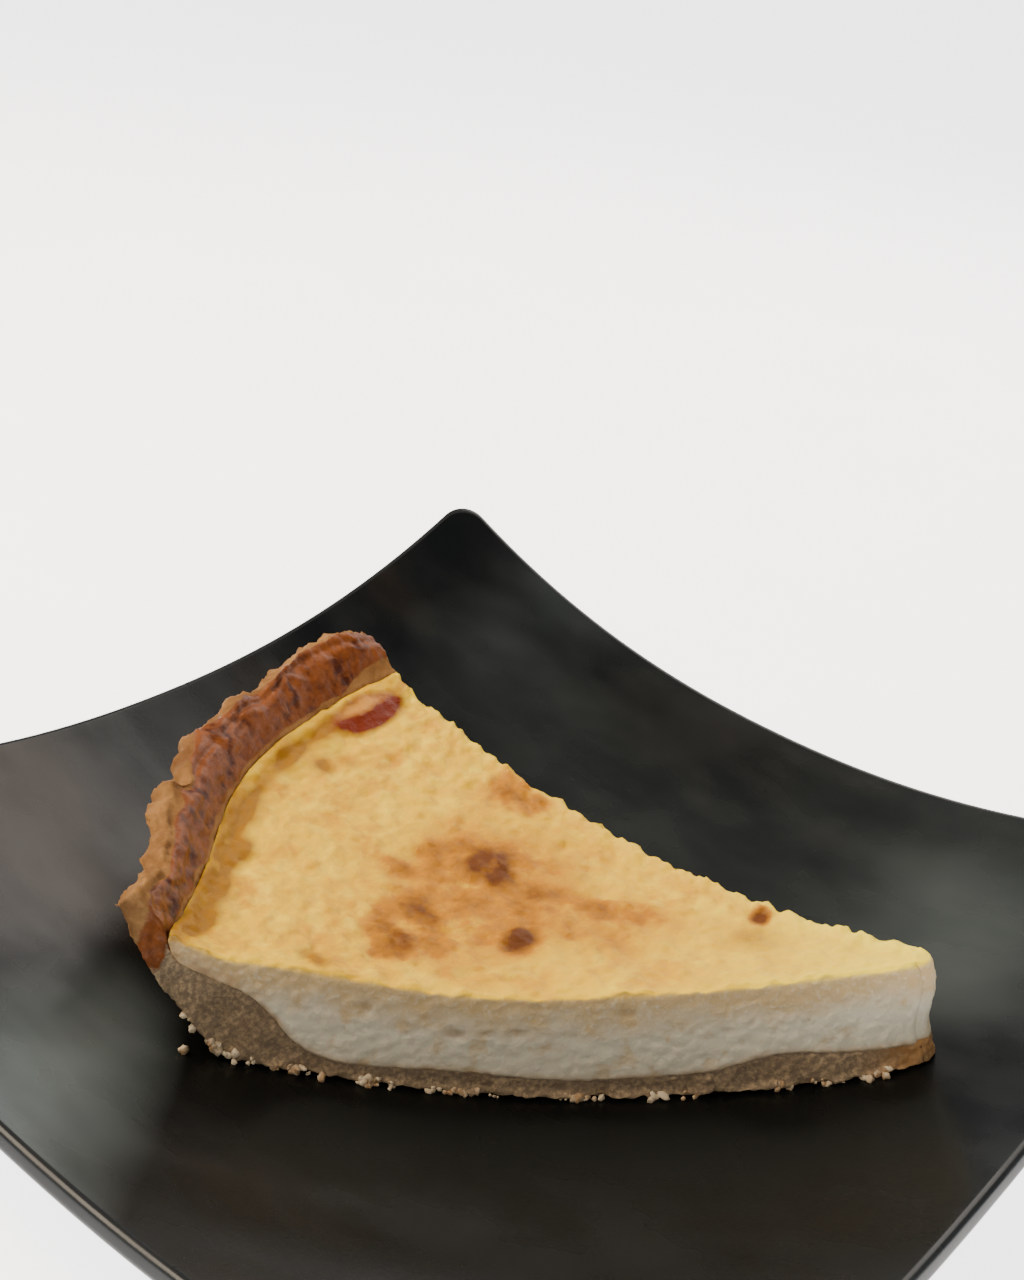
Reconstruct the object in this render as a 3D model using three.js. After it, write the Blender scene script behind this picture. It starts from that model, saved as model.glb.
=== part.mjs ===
// A slice of baked cheesecake tart on the square, dished black plate that it is served on.
// Lengths are millimetres and +Z is up. The origin is the middle of the plate's foot, on the table.
import * as THREE from "three";
import { mergeVertices } from "three/addons/utils/BufferGeometryUtils.js";

// Plate: a square dish whose four sides and corners sweep upwards.
const PLATE_SIDE = 184;
const PLATE_THICKNESS = 3.2;
const PLATE_CORNER_RADIUS = 6;
const PLATE_SIDE_RISE = 21.2;
const DISH_POWER = 2.16;
const SOFTER_CORNER = 8;
const EDGE_ROUND = 1.1;
const FOOT_SIDE = 78;
const FOOT_WIDTH = 5;
const FOOT_CORNER_RADIUS = 12;
const FOOT_TAPER = 1;
const FOOT_CLEARANCE = 1.2;

// Slice: a wedge of tart whose blunt tip points at one side of the plate.
const TIP = [32.1, -69.6];
const HEADING = THREE.MathUtils.degToRad(110.7);
const WEDGE_ANGLE = THREE.MathUtils.degToRad(43.1);
const TIP_WIDTH = 5.6;
const TIP_ROUND = 1.2;
const SLICE_HEIGHT = 18.8;
const RIM_CENTRE_ALONG = 37.7;
const RIM_CENTRE_ACROSS = -3.3;
const RIM_RADIUS = 107.7;
const CREST_WIDTH = 9.5;
const BASE_THICKNESS = 3.9;
const BASE_UNEVENNESS = 0.7;
const LEVEL_BASE_FROM_RIM = 42;
const CUSTARD_EDGE_FROM_RIM = 11;
const CUSTARD_UNEVENNESS = 0.25;
const GAP = 0.3;

// Distances in from the rim's crest, and heights over the plate, of the pastry's inner face.
const PASTRY_INSIDE = [
  [-1.3, 20.6],
  [-0.6, 22.3],
  [1.2, 23.4],
  [3.2, 23.2],
  [6.2, 21.4],
  [9.8, 18.7],
  [12.2, 15.4],
  [16, 14.2],
  [22.4, 12.8],
  [27, 10],
  [32.5, 5.6],
  [40, BASE_THICKNESS],
];

// The same of its outer face, which flares out from the plate up to the crest.
const PASTRY_OUTSIDE = [
  [-1.3, 20.6],
  [0.9, 18],
  [5.2, 13.6],
  [9.6, 9.8],
  [13.4, 6.6],
  [17.6, 3.2],
  [21.6, 1],
  [26.5, 0],
];

// The rim is thinner at its near end: by how much, over what width in from the cut and share of the slice's
// angle, and the distances in from the crest between which that sets in and those between which it ends.
const NEAR_END_SPREAD = 2.4;
const NEAR_END_WIDTH = 8;
const NEAR_END_SIDE = 0.08;
const NEAR_END_STARTS = [0, 6];
const NEAR_END_ENDS = [16, 26];

// Where hands left the base thicker, behind the tip: place along and across the slice, half length, half
// width and height.
const BASE_SWELL = [23, 11, 9, 12, 2.8];

// The rim is flatter than a circle on its near side: how far it lies in there, the direction from the rim's
// centre where it lies in most, and how wide that is, in degrees.
const FLAT_DEPTH = 3.2;
const FLAT_DIRECTION = 127;
const FLAT_WIDTH = 12;

// Bumps of the hand pressed crest: direction from the rim's centre and width in degrees, push out and lift.
const CREST_BUMPS = [
  [149, 3, -1.2, -1],
  [142, 2, 1, 0.9],
  [135.4, 2.4, -2.5, -0.8],
  [126, 2.2, 1.6, 0.4],
  [122, 1.3, 2.2, 1.2],
  [115.5, 2.6, 0.9, 0.3],
  [109.5, 2.2, -0.2, 0.5],
  [104.5, 1.6, 1, 0.5],
  [101, 1.4, -0.3, -0.7],
  [96.6, 1.3, 0.5, 0.4],
  [92, 5.6, 2.7, 0.4],
  [87, 1.8, 0.8, 0.6],
];

// Blisters and sunken places of the baked top: place along and across the slice, half length, half width,
// height and turn in degrees.
const TOP_MARKS = [
  [123.5, -36.5, 10, 3.8, 1.1, 66],
  [83.4, -8, 6, 4.6, 1.5, 30],
  [70.4, 10.3, 3.6, 3, 0.8, 0],
  [29.5, -10.6, 2.2, 2.2, -0.5, 0],
  [100.2, 35.4, 3, 2.4, -0.4, 0],
  [82.6, -25.2, 15, 8, 0.4, 0],
  [90.7, 18.5, 13, 9, 0.35, 30],
  [51.6, -5, 16, 6, 0.3, 0],
];
const MOAT_FROM_RIM = 18;
const MOAT_WIDTH = 5;
const MOAT_DEPTH = 0.9;

const NEAR_CUT_RELIEF = 0.3;
const NEAR_CUT_SPACING = 8.5;
const FAR_CUT_RELIEF = 1;
const FAR_EDGE_LIFT = 0.7;
const FAR_EDGE_WIDTH = 3;
const FAR_CUT_SPACING = 5.6;
const PASTRY_CUT_RELIEF = 0.45;

// Steps of the faceted surfaces.
const FACE_STEPS = 11;
const UNDER_STEPS = 6;
const OUTLINE_SIDE_STEPS = 14;
const OUTLINE_CORNER_STEPS = 4;
const RAY_ROUNDS = 4;

const half = PLATE_SIDE / 2;
const flatHalf = half - EDGE_ROUND;
const middleHeight = FOOT_CLEARANCE + PLATE_THICKNESS;

const ceramic = new THREE.MeshStandardMaterial({ color: 0x2a2a2a, roughness: 0.45, metalness: 0 });
const pastry = new THREE.MeshStandardMaterial({ color: 0xa4682f, roughness: 0.8, metalness: 0 });
const custard = new THREE.MeshStandardMaterial({ color: 0xe3c283, roughness: 0.55, metalness: 0 });

// A point at a given height over the dish, measured square to the plate's upper face.
function overPlate(x, y, height) {
  const u = Math.abs(x) / half;
  const v = Math.abs(y) / half;
  const z = PLATE_SIDE_RISE * (u ** DISH_POWER + v ** DISH_POWER);
  const slope = (PLATE_SIDE_RISE * DISH_POWER) / half;
  const normal = new THREE.Vector3(
    -Math.sign(x) * slope * u ** (DISH_POWER - 1),
    -Math.sign(y) * slope * v ** (DISH_POWER - 1),
    1,
  ).normalize();
  return new THREE.Vector3(x, y, z + middleHeight).addScaledVector(normal, height);
}

// A closed geometry from corner points, three to a triangle, without triangles that shrank to a line.
function closedGeometry(points) {
  const soup = new THREE.BufferGeometry().setFromPoints(points);
  const merged = mergeVertices(soup, 1e-3);
  const kept = [];
  const index = merged.index.array;
  for (let i = 0; i < index.length; i += 3) {
    const [a, b, c] = index.slice(i, i + 3);
    if (a !== b && b !== c && c !== a) kept.push(a, b, c);
  }
  merged.setIndex(kept);
  merged.computeVertexNormals();
  return merged;
}

function addQuad(points, a, b, c, d) {
  points.push(a, b, c, a, c, d);
}

// Points of a square outline with round corners, counterclockwise.
function squareOutline(halfSide, radius) {
  const straight = halfSide - radius;
  const middle = new THREE.Vector2();
  const outline = [];
  for (let side = 0; side < 4; side += 1) {
    const turn = (side * Math.PI) / 2;
    for (let i = 0; i < OUTLINE_SIDE_STEPS; i += 1) {
      const along = straight * ((2 * i) / OUTLINE_SIDE_STEPS - 1);
      outline.push(new THREE.Vector2(halfSide, along).rotateAround(middle, turn));
    }
    for (let i = 0; i < OUTLINE_CORNER_STEPS; i += 1) {
      const angle = (i / OUTLINE_CORNER_STEPS) * (Math.PI / 2);
      const round = new THREE.Vector2(Math.cos(angle), Math.sin(angle)).multiplyScalar(radius);
      outline.push(round.addScalar(straight).rotateAround(middle, turn));
    }
  }
  return outline;
}

// A ring of points at one height over the dish.
function dishRing(halfSide, radius, height) {
  return squareOutline(halfSide, radius).map(({ x, y }) => overPlate(x, y, height));
}

// A ring of points on the table.
function tableRing(halfSide, radius) {
  return squareOutline(halfSide, radius).map(({ x, y }) => new THREE.Vector3(x, y, 0));
}

// The upper face, ring by ring from its middle to where the edge starts to round over.
function upperRings() {
  return Array.from({ length: FACE_STEPS }, (_, i) => {
    const share = (i + 1) / FACE_STEPS;
    const radius = share * (PLATE_CORNER_RADIUS + SOFTER_CORNER * (1 - share));
    return dishRing(flatHalf * share, radius, 0);
  });
}

// The edge, rounded over above and below.
function edgeRings() {
  const round = (middle, degrees) => {
    const angle = THREE.MathUtils.degToRad(degrees);
    const out = flatHalf + EDGE_ROUND * Math.cos(angle);
    return dishRing(out, PLATE_CORNER_RADIUS, middle + EDGE_ROUND * Math.sin(angle));
  };
  const above = [60, 30, 0].map((degrees) => round(-EDGE_ROUND, degrees));
  const below = [0, -30, -60, -90].map((degrees) => round(EDGE_ROUND - PLATE_THICKNESS, degrees));
  return [...above, ...below];
}

// The underside, from the edge in to the foot.
function underRings() {
  const foot = FOOT_SIDE / 2 + FOOT_TAPER;
  return Array.from({ length: UNDER_STEPS }, (_, i) => {
    const share = (i + 1) / UNDER_STEPS;
    const size = THREE.MathUtils.lerp(flatHalf, foot, share);
    const radius = THREE.MathUtils.lerp(PLATE_CORNER_RADIUS, FOOT_CORNER_RADIUS + FOOT_TAPER, share);
    return dishRing(size, radius, -PLATE_THICKNESS);
  });
}

// The foot, a flat raised band, and the plate's underside within it.
function footRings() {
  const inside = FOOT_SIDE / 2 - FOOT_WIDTH;
  const radius = FOOT_CORNER_RADIUS - FOOT_WIDTH;
  const within = [1, 0.66, 0.33].map((share) =>
    dishRing((inside - FOOT_TAPER) * share, (radius - FOOT_TAPER) * share, -PLATE_THICKNESS),
  );
  return [tableRing(FOOT_SIDE / 2, FOOT_CORNER_RADIUS), tableRing(inside, radius), ...within];
}

function plateGeometry() {
  const rings = [...upperRings(), ...edgeRings(), ...underRings(), ...footRings()];
  const points = [];
  const count = rings[0].length;
  const top = overPlate(0, 0, 0);
  const bottom = overPlate(0, 0, -PLATE_THICKNESS);
  const last = rings[rings.length - 1];
  for (let k = 0; k < count; k += 1) {
    const next = (k + 1) % count;
    points.push(top, rings[0][k], rings[0][next]);
    points.push(bottom, last[next], last[k]);
    for (let r = 0; r + 1 < rings.length; r += 1) {
      addQuad(points, rings[r][k], rings[r + 1][k], rings[r + 1][next], rings[r][next]);
    }
  }
  return closedGeometry(points);
}

// A smooth curve through the listed points as a function of distance in from the crest.
function profileOf(points) {
  const slopes = points.map((_, i) => {
    const [x0, y0] = points[Math.max(i - 1, 0)];
    const [x1, y1] = points[Math.min(i + 1, points.length - 1)];
    return (y1 - y0) / (x1 - x0);
  });
  slopes[slopes.length - 1] = 0;
  return (x) => {
    const end = points[points.length - 1];
    if (x >= end[0]) return end[1];
    const i = Math.max(points.findIndex(([from]) => x < from) - 1, 0);
    const [x0, y0] = points[i];
    const [x1, y1] = points[i + 1];
    const width = x1 - x0;
    const t = THREE.MathUtils.clamp((x - x0) / width, 0, 1);
    const rise = y1 - y0;
    const bend = slopes[i] * width * t * (1 - t) ** 2 - slopes[i + 1] * width * t * t * (1 - t);
    return y0 + rise * t * t * (3 - 2 * t) + bend;
  };
}

const pastryInside = profileOf(PASTRY_INSIDE);
const pastryOutside = profileOf(PASTRY_OUTSIDE);

function bell(distance, width) {
  return Math.exp(-((distance / width) ** 2));
}

// The slice is laid out in rays from its tip, side 0 along the near cut to side 1 along the far one.
// This is the length of a ray out to the circle that lies `inset` in from the rim's own circle.
function circleLength(side, inset) {
  const angle = WEDGE_ANGLE * (0.5 - side);
  const start = TIP_WIDTH * (0.5 - side);
  const dx = -RIM_CENTRE_ALONG;
  const dy = start - RIM_CENTRE_ACROSS;
  const toward = dx * Math.cos(angle) + dy * Math.sin(angle);
  const radius = RIM_RADIUS - inset;
  return -toward + Math.sqrt(toward * toward - dx * dx - dy * dy + radius * radius);
}

// Place along and across the slice of a point on that ray.
function onRay(side, length) {
  const angle = WEDGE_ANGLE * (0.5 - side);
  const start = TIP_WIDTH * (0.5 - side);
  return new THREE.Vector2(length * Math.cos(angle), start + length * Math.sin(angle));
}

// Direction of a place from the rim's centre, in degrees on the plate.
function directionOf(place) {
  const angle = Math.atan2(place.y - RIM_CENTRE_ACROSS, place.x - RIM_CENTRE_ALONG);
  return THREE.MathUtils.radToDeg(angle + HEADING);
}

// How far the crest lies in from its circle there.
function flattening(place) {
  return FLAT_DEPTH * bell(directionOf(place) - FLAT_DIRECTION, FLAT_WIDTH);
}

// Distance of a place in from the crest.
function insetOf(place) {
  const dx = place.x - RIM_CENTRE_ALONG;
  const dy = place.y - RIM_CENTRE_ACROSS;
  return dx > 0 ? RIM_RADIUS - Math.hypot(dx, dy) - flattening(place) : RIM_RADIUS;
}

// The length of a ray out to the line that lies `inset` in from the crest.
function rayLength(side, inset) {
  let length = circleLength(side, inset);
  for (let i = 0; i < RAY_ROUNDS; i += 1) {
    length = circleLength(side, inset + flattening(onRay(side, length)));
  }
  return length;
}

// Push outwards and lift of the crest's bumps at a place.
function crestBump(place) {
  const direction = directionOf(place);
  let push = 0;
  let lift = 0;
  for (const [at, width, out, up] of CREST_BUMPS) {
    push += out * bell(direction - at, width);
    lift += up * bell(direction - at, width);
  }
  return { push, lift };
}

// The slice's place on the plate, and its height over it.
function inSlice(place, height) {
  const x = TIP[0] + place.x * Math.cos(HEADING) - place.y * Math.sin(HEADING);
  const y = TIP[1] + place.x * Math.sin(HEADING) + place.y * Math.cos(HEADING);
  return overPlate(x, y, height);
}

// Low uneven relief of a cut, which a knife leaves smooth on one side and crumbly on the other.
function cutRelief(side, length, height, size) {
  const spacing = side < 0.5 ? NEAR_CUT_SPACING : FAR_CUT_SPACING;
  const wave = (2 * Math.PI * length) / spacing;
  const slow = Math.sin(wave * 0.43 + 1.3);
  return size * (0.6 * Math.sin(wave + 0.35 * height) + 0.4 * slow * Math.sin(0.5 * height + wave * 1.7));
}

// Distances of a place in from the near cut and from the far one.
function fromNearCut(place) {
  const turn = WEDGE_ANGLE / 2;
  return place.x * Math.sin(turn) - (place.y - TIP_WIDTH / 2) * Math.cos(turn);
}

function fromFarCut(place) {
  const turn = WEDGE_ANGLE / 2;
  return place.x * Math.sin(turn) + (place.y + TIP_WIDTH / 2) * Math.cos(turn);
}

// How much thinner the rim is at its near end, where the filling reaches further out.
function nearEndSpread(place, inset) {
  const starts = THREE.MathUtils.smoothstep(inset, ...NEAR_END_STARTS);
  const ends = THREE.MathUtils.smoothstep(inset, ...NEAR_END_ENDS);
  return NEAR_END_SPREAD * bell(fromNearCut(place), NEAR_END_WIDTH) * starts * (1 - ends);
}

// Height of the pastry under the filling: its inner face, uneven on the base where hands pressed it in.
function pastryTop(place, inset) {
  const wave = Math.sin(place.x / 11.5 + 0.4) * Math.cos(place.y / 17) + 0.5 * Math.sin(place.x / 5.2);
  const onBase = THREE.MathUtils.smoothstep(inset, LEVEL_BASE_FROM_RIM / 2, LEVEL_BASE_FROM_RIM);
  const [along, across, long, wide, lift] = BASE_SWELL;
  const swell = lift * bell(Math.hypot((place.x - along) / long, (place.y - across) / wide), 1);
  return pastryInside(inset + nearEndSpread(place, inset)) + onBase * BASE_UNEVENNESS * wave + swell;
}

// The baked top: gently uneven, sunken just inside the rim, lumpy along the far cut where the knife pulled
// crumbs up, with blisters where it browned.
function custardTop(place) {
  let height = SLICE_HEIGHT - 0.003 * place.x;
  const lumps = 0.5 + 0.5 * Math.sin((2 * Math.PI * place.x) / FAR_CUT_SPACING + 0.9);
  height += FAR_EDGE_LIFT * lumps * bell(fromFarCut(place), FAR_EDGE_WIDTH);
  height += CUSTARD_UNEVENNESS * Math.sin(place.x / 9 + 0.8) * Math.sin(place.y / 8 + 0.3);
  height -= MOAT_DEPTH * bell(insetOf(place) - MOAT_FROM_RIM, MOAT_WIDTH);
  for (const [along, across, long, wide, lift, turn] of TOP_MARKS) {
    const offset = new THREE.Vector2(place.x - along, place.y - across);
    offset.rotateAround(new THREE.Vector2(), -THREE.MathUtils.degToRad(turn));
    height += lift * bell(Math.hypot(offset.x / long, offset.y / wide), 1);
  }
  return height;
}

// A closed shell round a block of points, point(i, j, k) with i from tip to rim, j across and k upwards.
function shellOfBlock(ni, nj, nk, point) {
  const points = [];
  const face = (na, nb, at, flip) => {
    for (let a = 0; a < na; a += 1) {
      for (let b = 0; b < nb; b += 1) {
        const corners = [at(a, b), at(a + 1, b), at(a + 1, b + 1), at(a, b + 1)];
        addQuad(points, ...(flip ? corners.reverse() : corners));
      }
    }
  };
  face(ni, nj, (i, j) => point(i, j, nk), true);
  face(ni, nj, (i, j) => point(i, j, 0), false);
  face(ni, nk, (i, k) => point(i, 0, k), true);
  face(ni, nk, (i, k) => point(i, nj, k), false);
  face(nj, nk, (j, k) => point(0, j, k), false);
  face(nj, nk, (j, k) => point(ni, j, k), true);
  return closedGeometry(points);
}

// Length from the tip of station i on a ray: even steps over the base, then closer ones to the layer's end.
function stationLength(side, i, { end, baseSteps, rimSteps }) {
  if (i < baseSteps) return (i / baseSteps) * rayLength(side, LEVEL_BASE_FROM_RIM);
  const share = (i - baseSteps) / rimSteps;
  const inset = THREE.MathUtils.lerp(LEVEL_BASE_FROM_RIM, end(side), 1 - (1 - share) ** 1.35);
  return rayLength(side, inset);
}

// Moves a point of a cut side out or in by the cut's relief, which fades out at the tip.
function roughenCut(place, side, length, height, relief) {
  const turn = WEDGE_ANGLE * (0.5 - side);
  const outwards = new THREE.Vector2(-Math.sin(turn), Math.cos(turn));
  const size = relief * THREE.MathUtils.smoothstep(length, 0, 6) * Math.sign(0.5 - side);
  place.addScaledVector(outwards, cutRelief(side, length, height, size));
}

// Pushes a point of the rim out by the crest's bumps, and returns how much they lift it.
function pressCrest(place, inset) {
  const { push, lift } = crestBump(place);
  const share = 1 - THREE.MathUtils.smoothstep(inset, 1, CREST_WIDTH);
  const outwards = new THREE.Vector2(place.x - RIM_CENTRE_ALONG, place.y - RIM_CENTRE_ACROSS);
  place.addScaledVector(outwards.normalize(), push * share);
  return lift * share;
}

// One layer of the slice between two height functions, with uneven cut sides and a rounded tip.
function layerGeometry(layer) {
  const { baseSteps, rimSteps, across, up } = layer;
  return shellOfBlock(baseSteps + rimSteps, across, up, (i, j, k) => {
    const side = j / across;
    const length = stationLength(side, i, layer);
    const place = onRay(side, length);
    const inset = insetOf(place);
    const low = layer.bottom(place, inset);
    const high = Math.max(layer.top(place, inset), low);
    let height = THREE.MathUtils.lerp(low, high, k / up);
    if (side === 0) roughenCut(place, side, length, height, layer.nearRelief);
    if (side === 1) roughenCut(place, side, length, height, FAR_CUT_RELIEF);
    if (i === 0) place.x -= TIP_ROUND * 4 * side * (1 - side);
    if (inset < CREST_WIDTH) height += pressCrest(place, inset);
    return inSlice(place, height);
  });
}

// Pastry: the base under the filling and the rim that stands round its outer end, one baked piece.
function pastryGeometry() {
  return layerGeometry({
    end: () => PASTRY_INSIDE[0][0],
    rimSteps: 24,
    baseSteps: 14,
    across: 20,
    up: 2,
    bottom: (place, inset) => GAP + pastryOutside(inset),
    top: (place, inset) => GAP + pastryTop(place, inset),
    nearRelief: PASTRY_CUT_RELIEF,
  });
}

// Filling: baked cheese custard that fills the pastry up to just under its crest.
function fillingGeometry() {
  return layerGeometry({
    end: (side) => CUSTARD_EDGE_FROM_RIM - NEAR_END_SPREAD * bell(side, NEAR_END_SIDE),
    rimSteps: 16,
    baseSteps: 18,
    across: 22,
    up: 4,
    bottom: (place, inset) => 2 * GAP + pastryTop(place, inset - GAP),
    top: (place) => GAP + custardTop(place),
    nearRelief: NEAR_CUT_RELIEF,
  });
}

function namedMesh(name, geometry, material) {
  const mesh = new THREE.Mesh(geometry, material);
  mesh.name = name;
  return mesh;
}

const plate = namedMesh("plate", plateGeometry(), ceramic);
const slice = new THREE.Group();
slice.add(namedMesh("pastry_crust", pastryGeometry(), pastry));
slice.add(namedMesh("cheese_filling", fillingGeometry(), custard));

const cheesecakeOnPlate = new THREE.Group();
cheesecakeOnPlate.add(plate, slice);

export default cheesecakeOnPlate;
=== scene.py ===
"""A slice of baked cheesecake tart on a square, dished black plate.

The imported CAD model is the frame. Each operator builds one piece over its CAD node, in millimetres, and
gives it the finish of the real thing. The last one sets the floor, the lights and the camera.
"""

import math

import bmesh
import bpy
import numpy as np
from mathutils import Matrix, Vector


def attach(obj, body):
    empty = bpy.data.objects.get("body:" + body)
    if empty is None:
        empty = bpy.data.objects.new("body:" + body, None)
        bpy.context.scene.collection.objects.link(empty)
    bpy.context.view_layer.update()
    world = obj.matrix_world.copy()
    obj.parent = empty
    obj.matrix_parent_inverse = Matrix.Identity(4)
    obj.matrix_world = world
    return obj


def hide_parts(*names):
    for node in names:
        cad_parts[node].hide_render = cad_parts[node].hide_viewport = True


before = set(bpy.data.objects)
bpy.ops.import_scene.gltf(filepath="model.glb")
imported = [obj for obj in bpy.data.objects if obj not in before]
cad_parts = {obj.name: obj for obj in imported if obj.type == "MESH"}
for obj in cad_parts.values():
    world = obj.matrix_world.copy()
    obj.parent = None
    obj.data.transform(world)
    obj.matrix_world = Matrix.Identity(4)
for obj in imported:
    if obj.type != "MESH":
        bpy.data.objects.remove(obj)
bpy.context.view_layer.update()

bl_info = {
    "name": "Cheesecake slice on plate",
    "version": (1, 0, 0),
    "blender": (4, 5, 0),
    "location": "3D Viewport > Sidebar > Cheesecake",
    "description": "Builds a slice of baked cheesecake tart on its dished black plate",
    "category": "Add Mesh",
}

MM = 0.001

# Point in the middle of the picture, level with the dish's middle, then the sensor's width and half of
# the floor's side.
AIM = (111.39, 87.15)
SENSOR_WIDTH = 36
FLOOR_HALF = 12

# Plate, as in the CAD: half of its side, its edge and foot.
PLATE_HALF = 92
PLATE_THICKNESS = 3.2
PLATE_CORNER = 6
SOFTER_CORNER = 8
SIDE_RISE = 21.2
DISH_POWER = 2.16
EDGE_ROUND = 1.1
FOOT_HALF = 39
FOOT_WIDTH = 5
FOOT_CORNER = 12
FOOT_TAPER = 1
FOOT_CLEARANCE = 1.2
MIDDLE_HEIGHT = FOOT_CLEARANCE + PLATE_THICKNESS

# Rounding of the foot's band, as steps out and heights, and how finely the plate is cut.
FOOT_ROUNDING = ((0.3, 0.35), (0, 0.08), (-0.3, 0))
FACE_RINGS = 60
UNDER_RINGS = 24
RECESS_RINGS = 8
EDGE_STEP = 10
SIDE_STEPS = 44
CORNER_STEPS = 14

# A spot of painted reflection on the glaze: place, width and strength.
REFLECTION_SPOT = (62, -56, 22, 0.2)

# Slice, as in the CAD: its tip's place and heading on the plate, its wedge and its rim's circle.
TIP = (32.1, -69.6)
HEADING = math.radians(110.7)
HALF_WEDGE = math.radians(43.1) / 2
TIP_WIDTH = 5.6
SLICE_HEIGHT = 18.8
RIM_ALONG = 37.7
RIM_ACROSS = -3.3
RIM_RADIUS = 107.7
CREST_WIDTH = 9.5
BASE_THICKNESS = 3.9
LEVEL_BASE_FROM_RIM = 42
PASTRY_OUTER_INSET = -1.3
FILLING_INSET = 10.4
GAP = 0.3
OVERLAP = 0.15
TIP_BULGE = 1.2

# Cells of the shells along, across and up.
FILLING_CELLS = (250, 190, 34)
PASTRY_CELLS = (280, 190, 12)

# Radii of the rounded edges.
NEAR_EDGE = 0.9
FAR_EDGE = 1.4
TIP_EDGE = 1.8
TIP_CORNER = 1.6
BASE_EDGE = 0.8

# The tip's foot is drawn in and its upper edge stands out: by how much, between which heights it changes,
# and over what length.
TIP_DRAWN_IN = 1.35
TIP_STANDS_OUT = 1
TIP_LEAN_HEIGHTS = (6, 16)
TIP_LEAN_LENGTH = 6

# Where the near cut's upper edge swelled: height, place along, length and width in from the cut.
SWOLLEN_EDGE = (1.5, 35, 30, 12)

# How far the crest's far end wore down, over what width from the cut, and where it lies from the crest.
WORN_END = (2.4, 3.2, 1.5, 4)

# Distances in from the rim's crest, and heights over the plate, of the pastry's inner and outer faces.
PASTRY_INSIDE = (
    ((PASTRY_OUTER_INSET, 20.6), (-0.6, 22.3), (1.2, 23.4), (3.2, 23.2), (6.2, 21.4), (9.8, 18.7))
    + ((12.2, 15.4), (16, 14.2), (22.4, 12.8), (27, 10), (32.5, 5.6), (40, BASE_THICKNESS))
)
PASTRY_OUTSIDE = (
    ((PASTRY_OUTER_INSET, 20.6), (0.9, 18), (5.2, 13.6), (9.6, 9.8))
    + ((13.4, 6.6), (17.6, 3.2), (21.6, 1), (26.5, 0))
)

# The rim is thinner at its near end: by how much, over what width in from the cut and share of the slice's
# angle, and the distances in from the crest between which that sets in and those between which it ends.
NEAR_END_SPREAD = 2.4
NEAR_END_WIDTH = 8
NEAR_END_SIDE = 0.08
NEAR_END_STARTS = (0, 6)
NEAR_END_ENDS = (16, 26)

# Where hands left the base thicker, behind the tip: place along and across the slice, half length, half
# width and height.
BASE_SWELL = (23, 11, 9, 12, 2.8)

# The rim is flatter than a circle on its near side: how far it lies in, in which direction, how wide.
FLAT_DEPTH = 3.2
FLAT_DIRECTION = 127
FLAT_WIDTH = 12

# Bumps of the hand pressed crest: direction and width in degrees, push out and lift.
CREST_BUMPS = (
    (149, 3, -1.2, -1),
    (142, 2, 1, 0.9),
    (135.4, 2.4, -2.5, -0.8),
    (126, 2.2, 1.6, 0.4),
    (122, 1.3, 2.2, 1.2),
    (115.5, 2.6, 0.9, 0.3),
    (109.5, 2.2, -0.2, 0.5),
    (104.5, 1.6, 1, 0.5),
    (101, 1.4, -0.3, -0.7),
    (96.6, 1.3, 0.5, 0.4),
    (92, 5.6, 2.7, 0.4),
    (87, 1.8, 0.8, 0.6),
)

# Chips and lumps of the crust's outer edge: direction and width in degrees, push out.
EDGE_LUMPS = (
    (92, 3.5, -2.2),
    (98, 3, -1.6),
    (105.5, 2, -1),
    (112, 2.6, 1.9),
    (119.5, 1.4, -2.2),
    (124, 1.6, 0.8),
    (130, 2.6, -1.8),
    (141, 2, -1.2),
)

# Blisters and sunken places of the baked top: place along and across the slice, half length, half width,
# height and turn in degrees.
TOP_RELIEF = (
    (123.5, -36.5, 10, 3.8, 1.1, 66),
    (83.4, -8, 6, 4.6, 1.5, 30),
    (70.4, 10.3, 3.6, 3, 0.8, 0),
    (29.5, -10.6, 2.2, 2.2, -0.5, 0),
    (100.2, 35.4, 3, 2.4, -0.4, 0),
    (82.6, -25.2, 15, 8, 0.4, 0),
    (90.7, 18.5, 13, 9, 0.35, 30),
    (51.6, -5, 16, 6, 0.3, 0),
)
MOAT_FROM_RIM = 18
MOAT_WIDTH = 5
MOAT_DEPTH = 0.9

# Where the oven browned the top: place, half length along, half width across, strength.
BROWNED = (
    (83.2, -8, 6.2, 7, 0.84),
    (90.8, -6, 5.6, 7, 0.58),
    (97.9, 1.4, 4, 3.5, 0.56),
    (91.7, 10, 4.6, 5, 0.72),
    (95.4, 14.8, 3.4, 4.4, 0.5),
    (88, 12.6, 4, 4, 0.66),
    (94.6, 20.8, 3.5, 4, 0.66),
    (89.6, 24.7, 4, 4.4, 0.92),
    (85, 21, 5, 6, 0.42),
    (83.5, 5, 3, 3, 0.4),
    (70.3, -4.8, 4, 5, 0.58),
    (60.5, -3.4, 8.5, 4.6, 0.42),
    (51.6, -5.6, 6, 3.8, 0.42),
    (88, -31.5, 4.6, 6, 0.48),
    (82, -30, 5, 4, 0.4),
    (80, -1, 19, 21, 0.36),
    (60, 2, 16, 9, 0.24),
    (82, 19, 8, 8, 0.24),
)

# How much of the weaker of two marks that overlap is added to the stronger one.
MARKS_ADD_UP = 0.35

# Small dark spots, the same numbers: the burst blister, its neighbour and the one near the tip.
SCORCHED = (
    (79.4, -4.8, 2.6, 3.2, 0.4),
    (69.9, 11.4, 3.4, 4.4, 0.85),
    (29.7, -10.5, 1.9, 2.7, 1.15),
)

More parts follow.
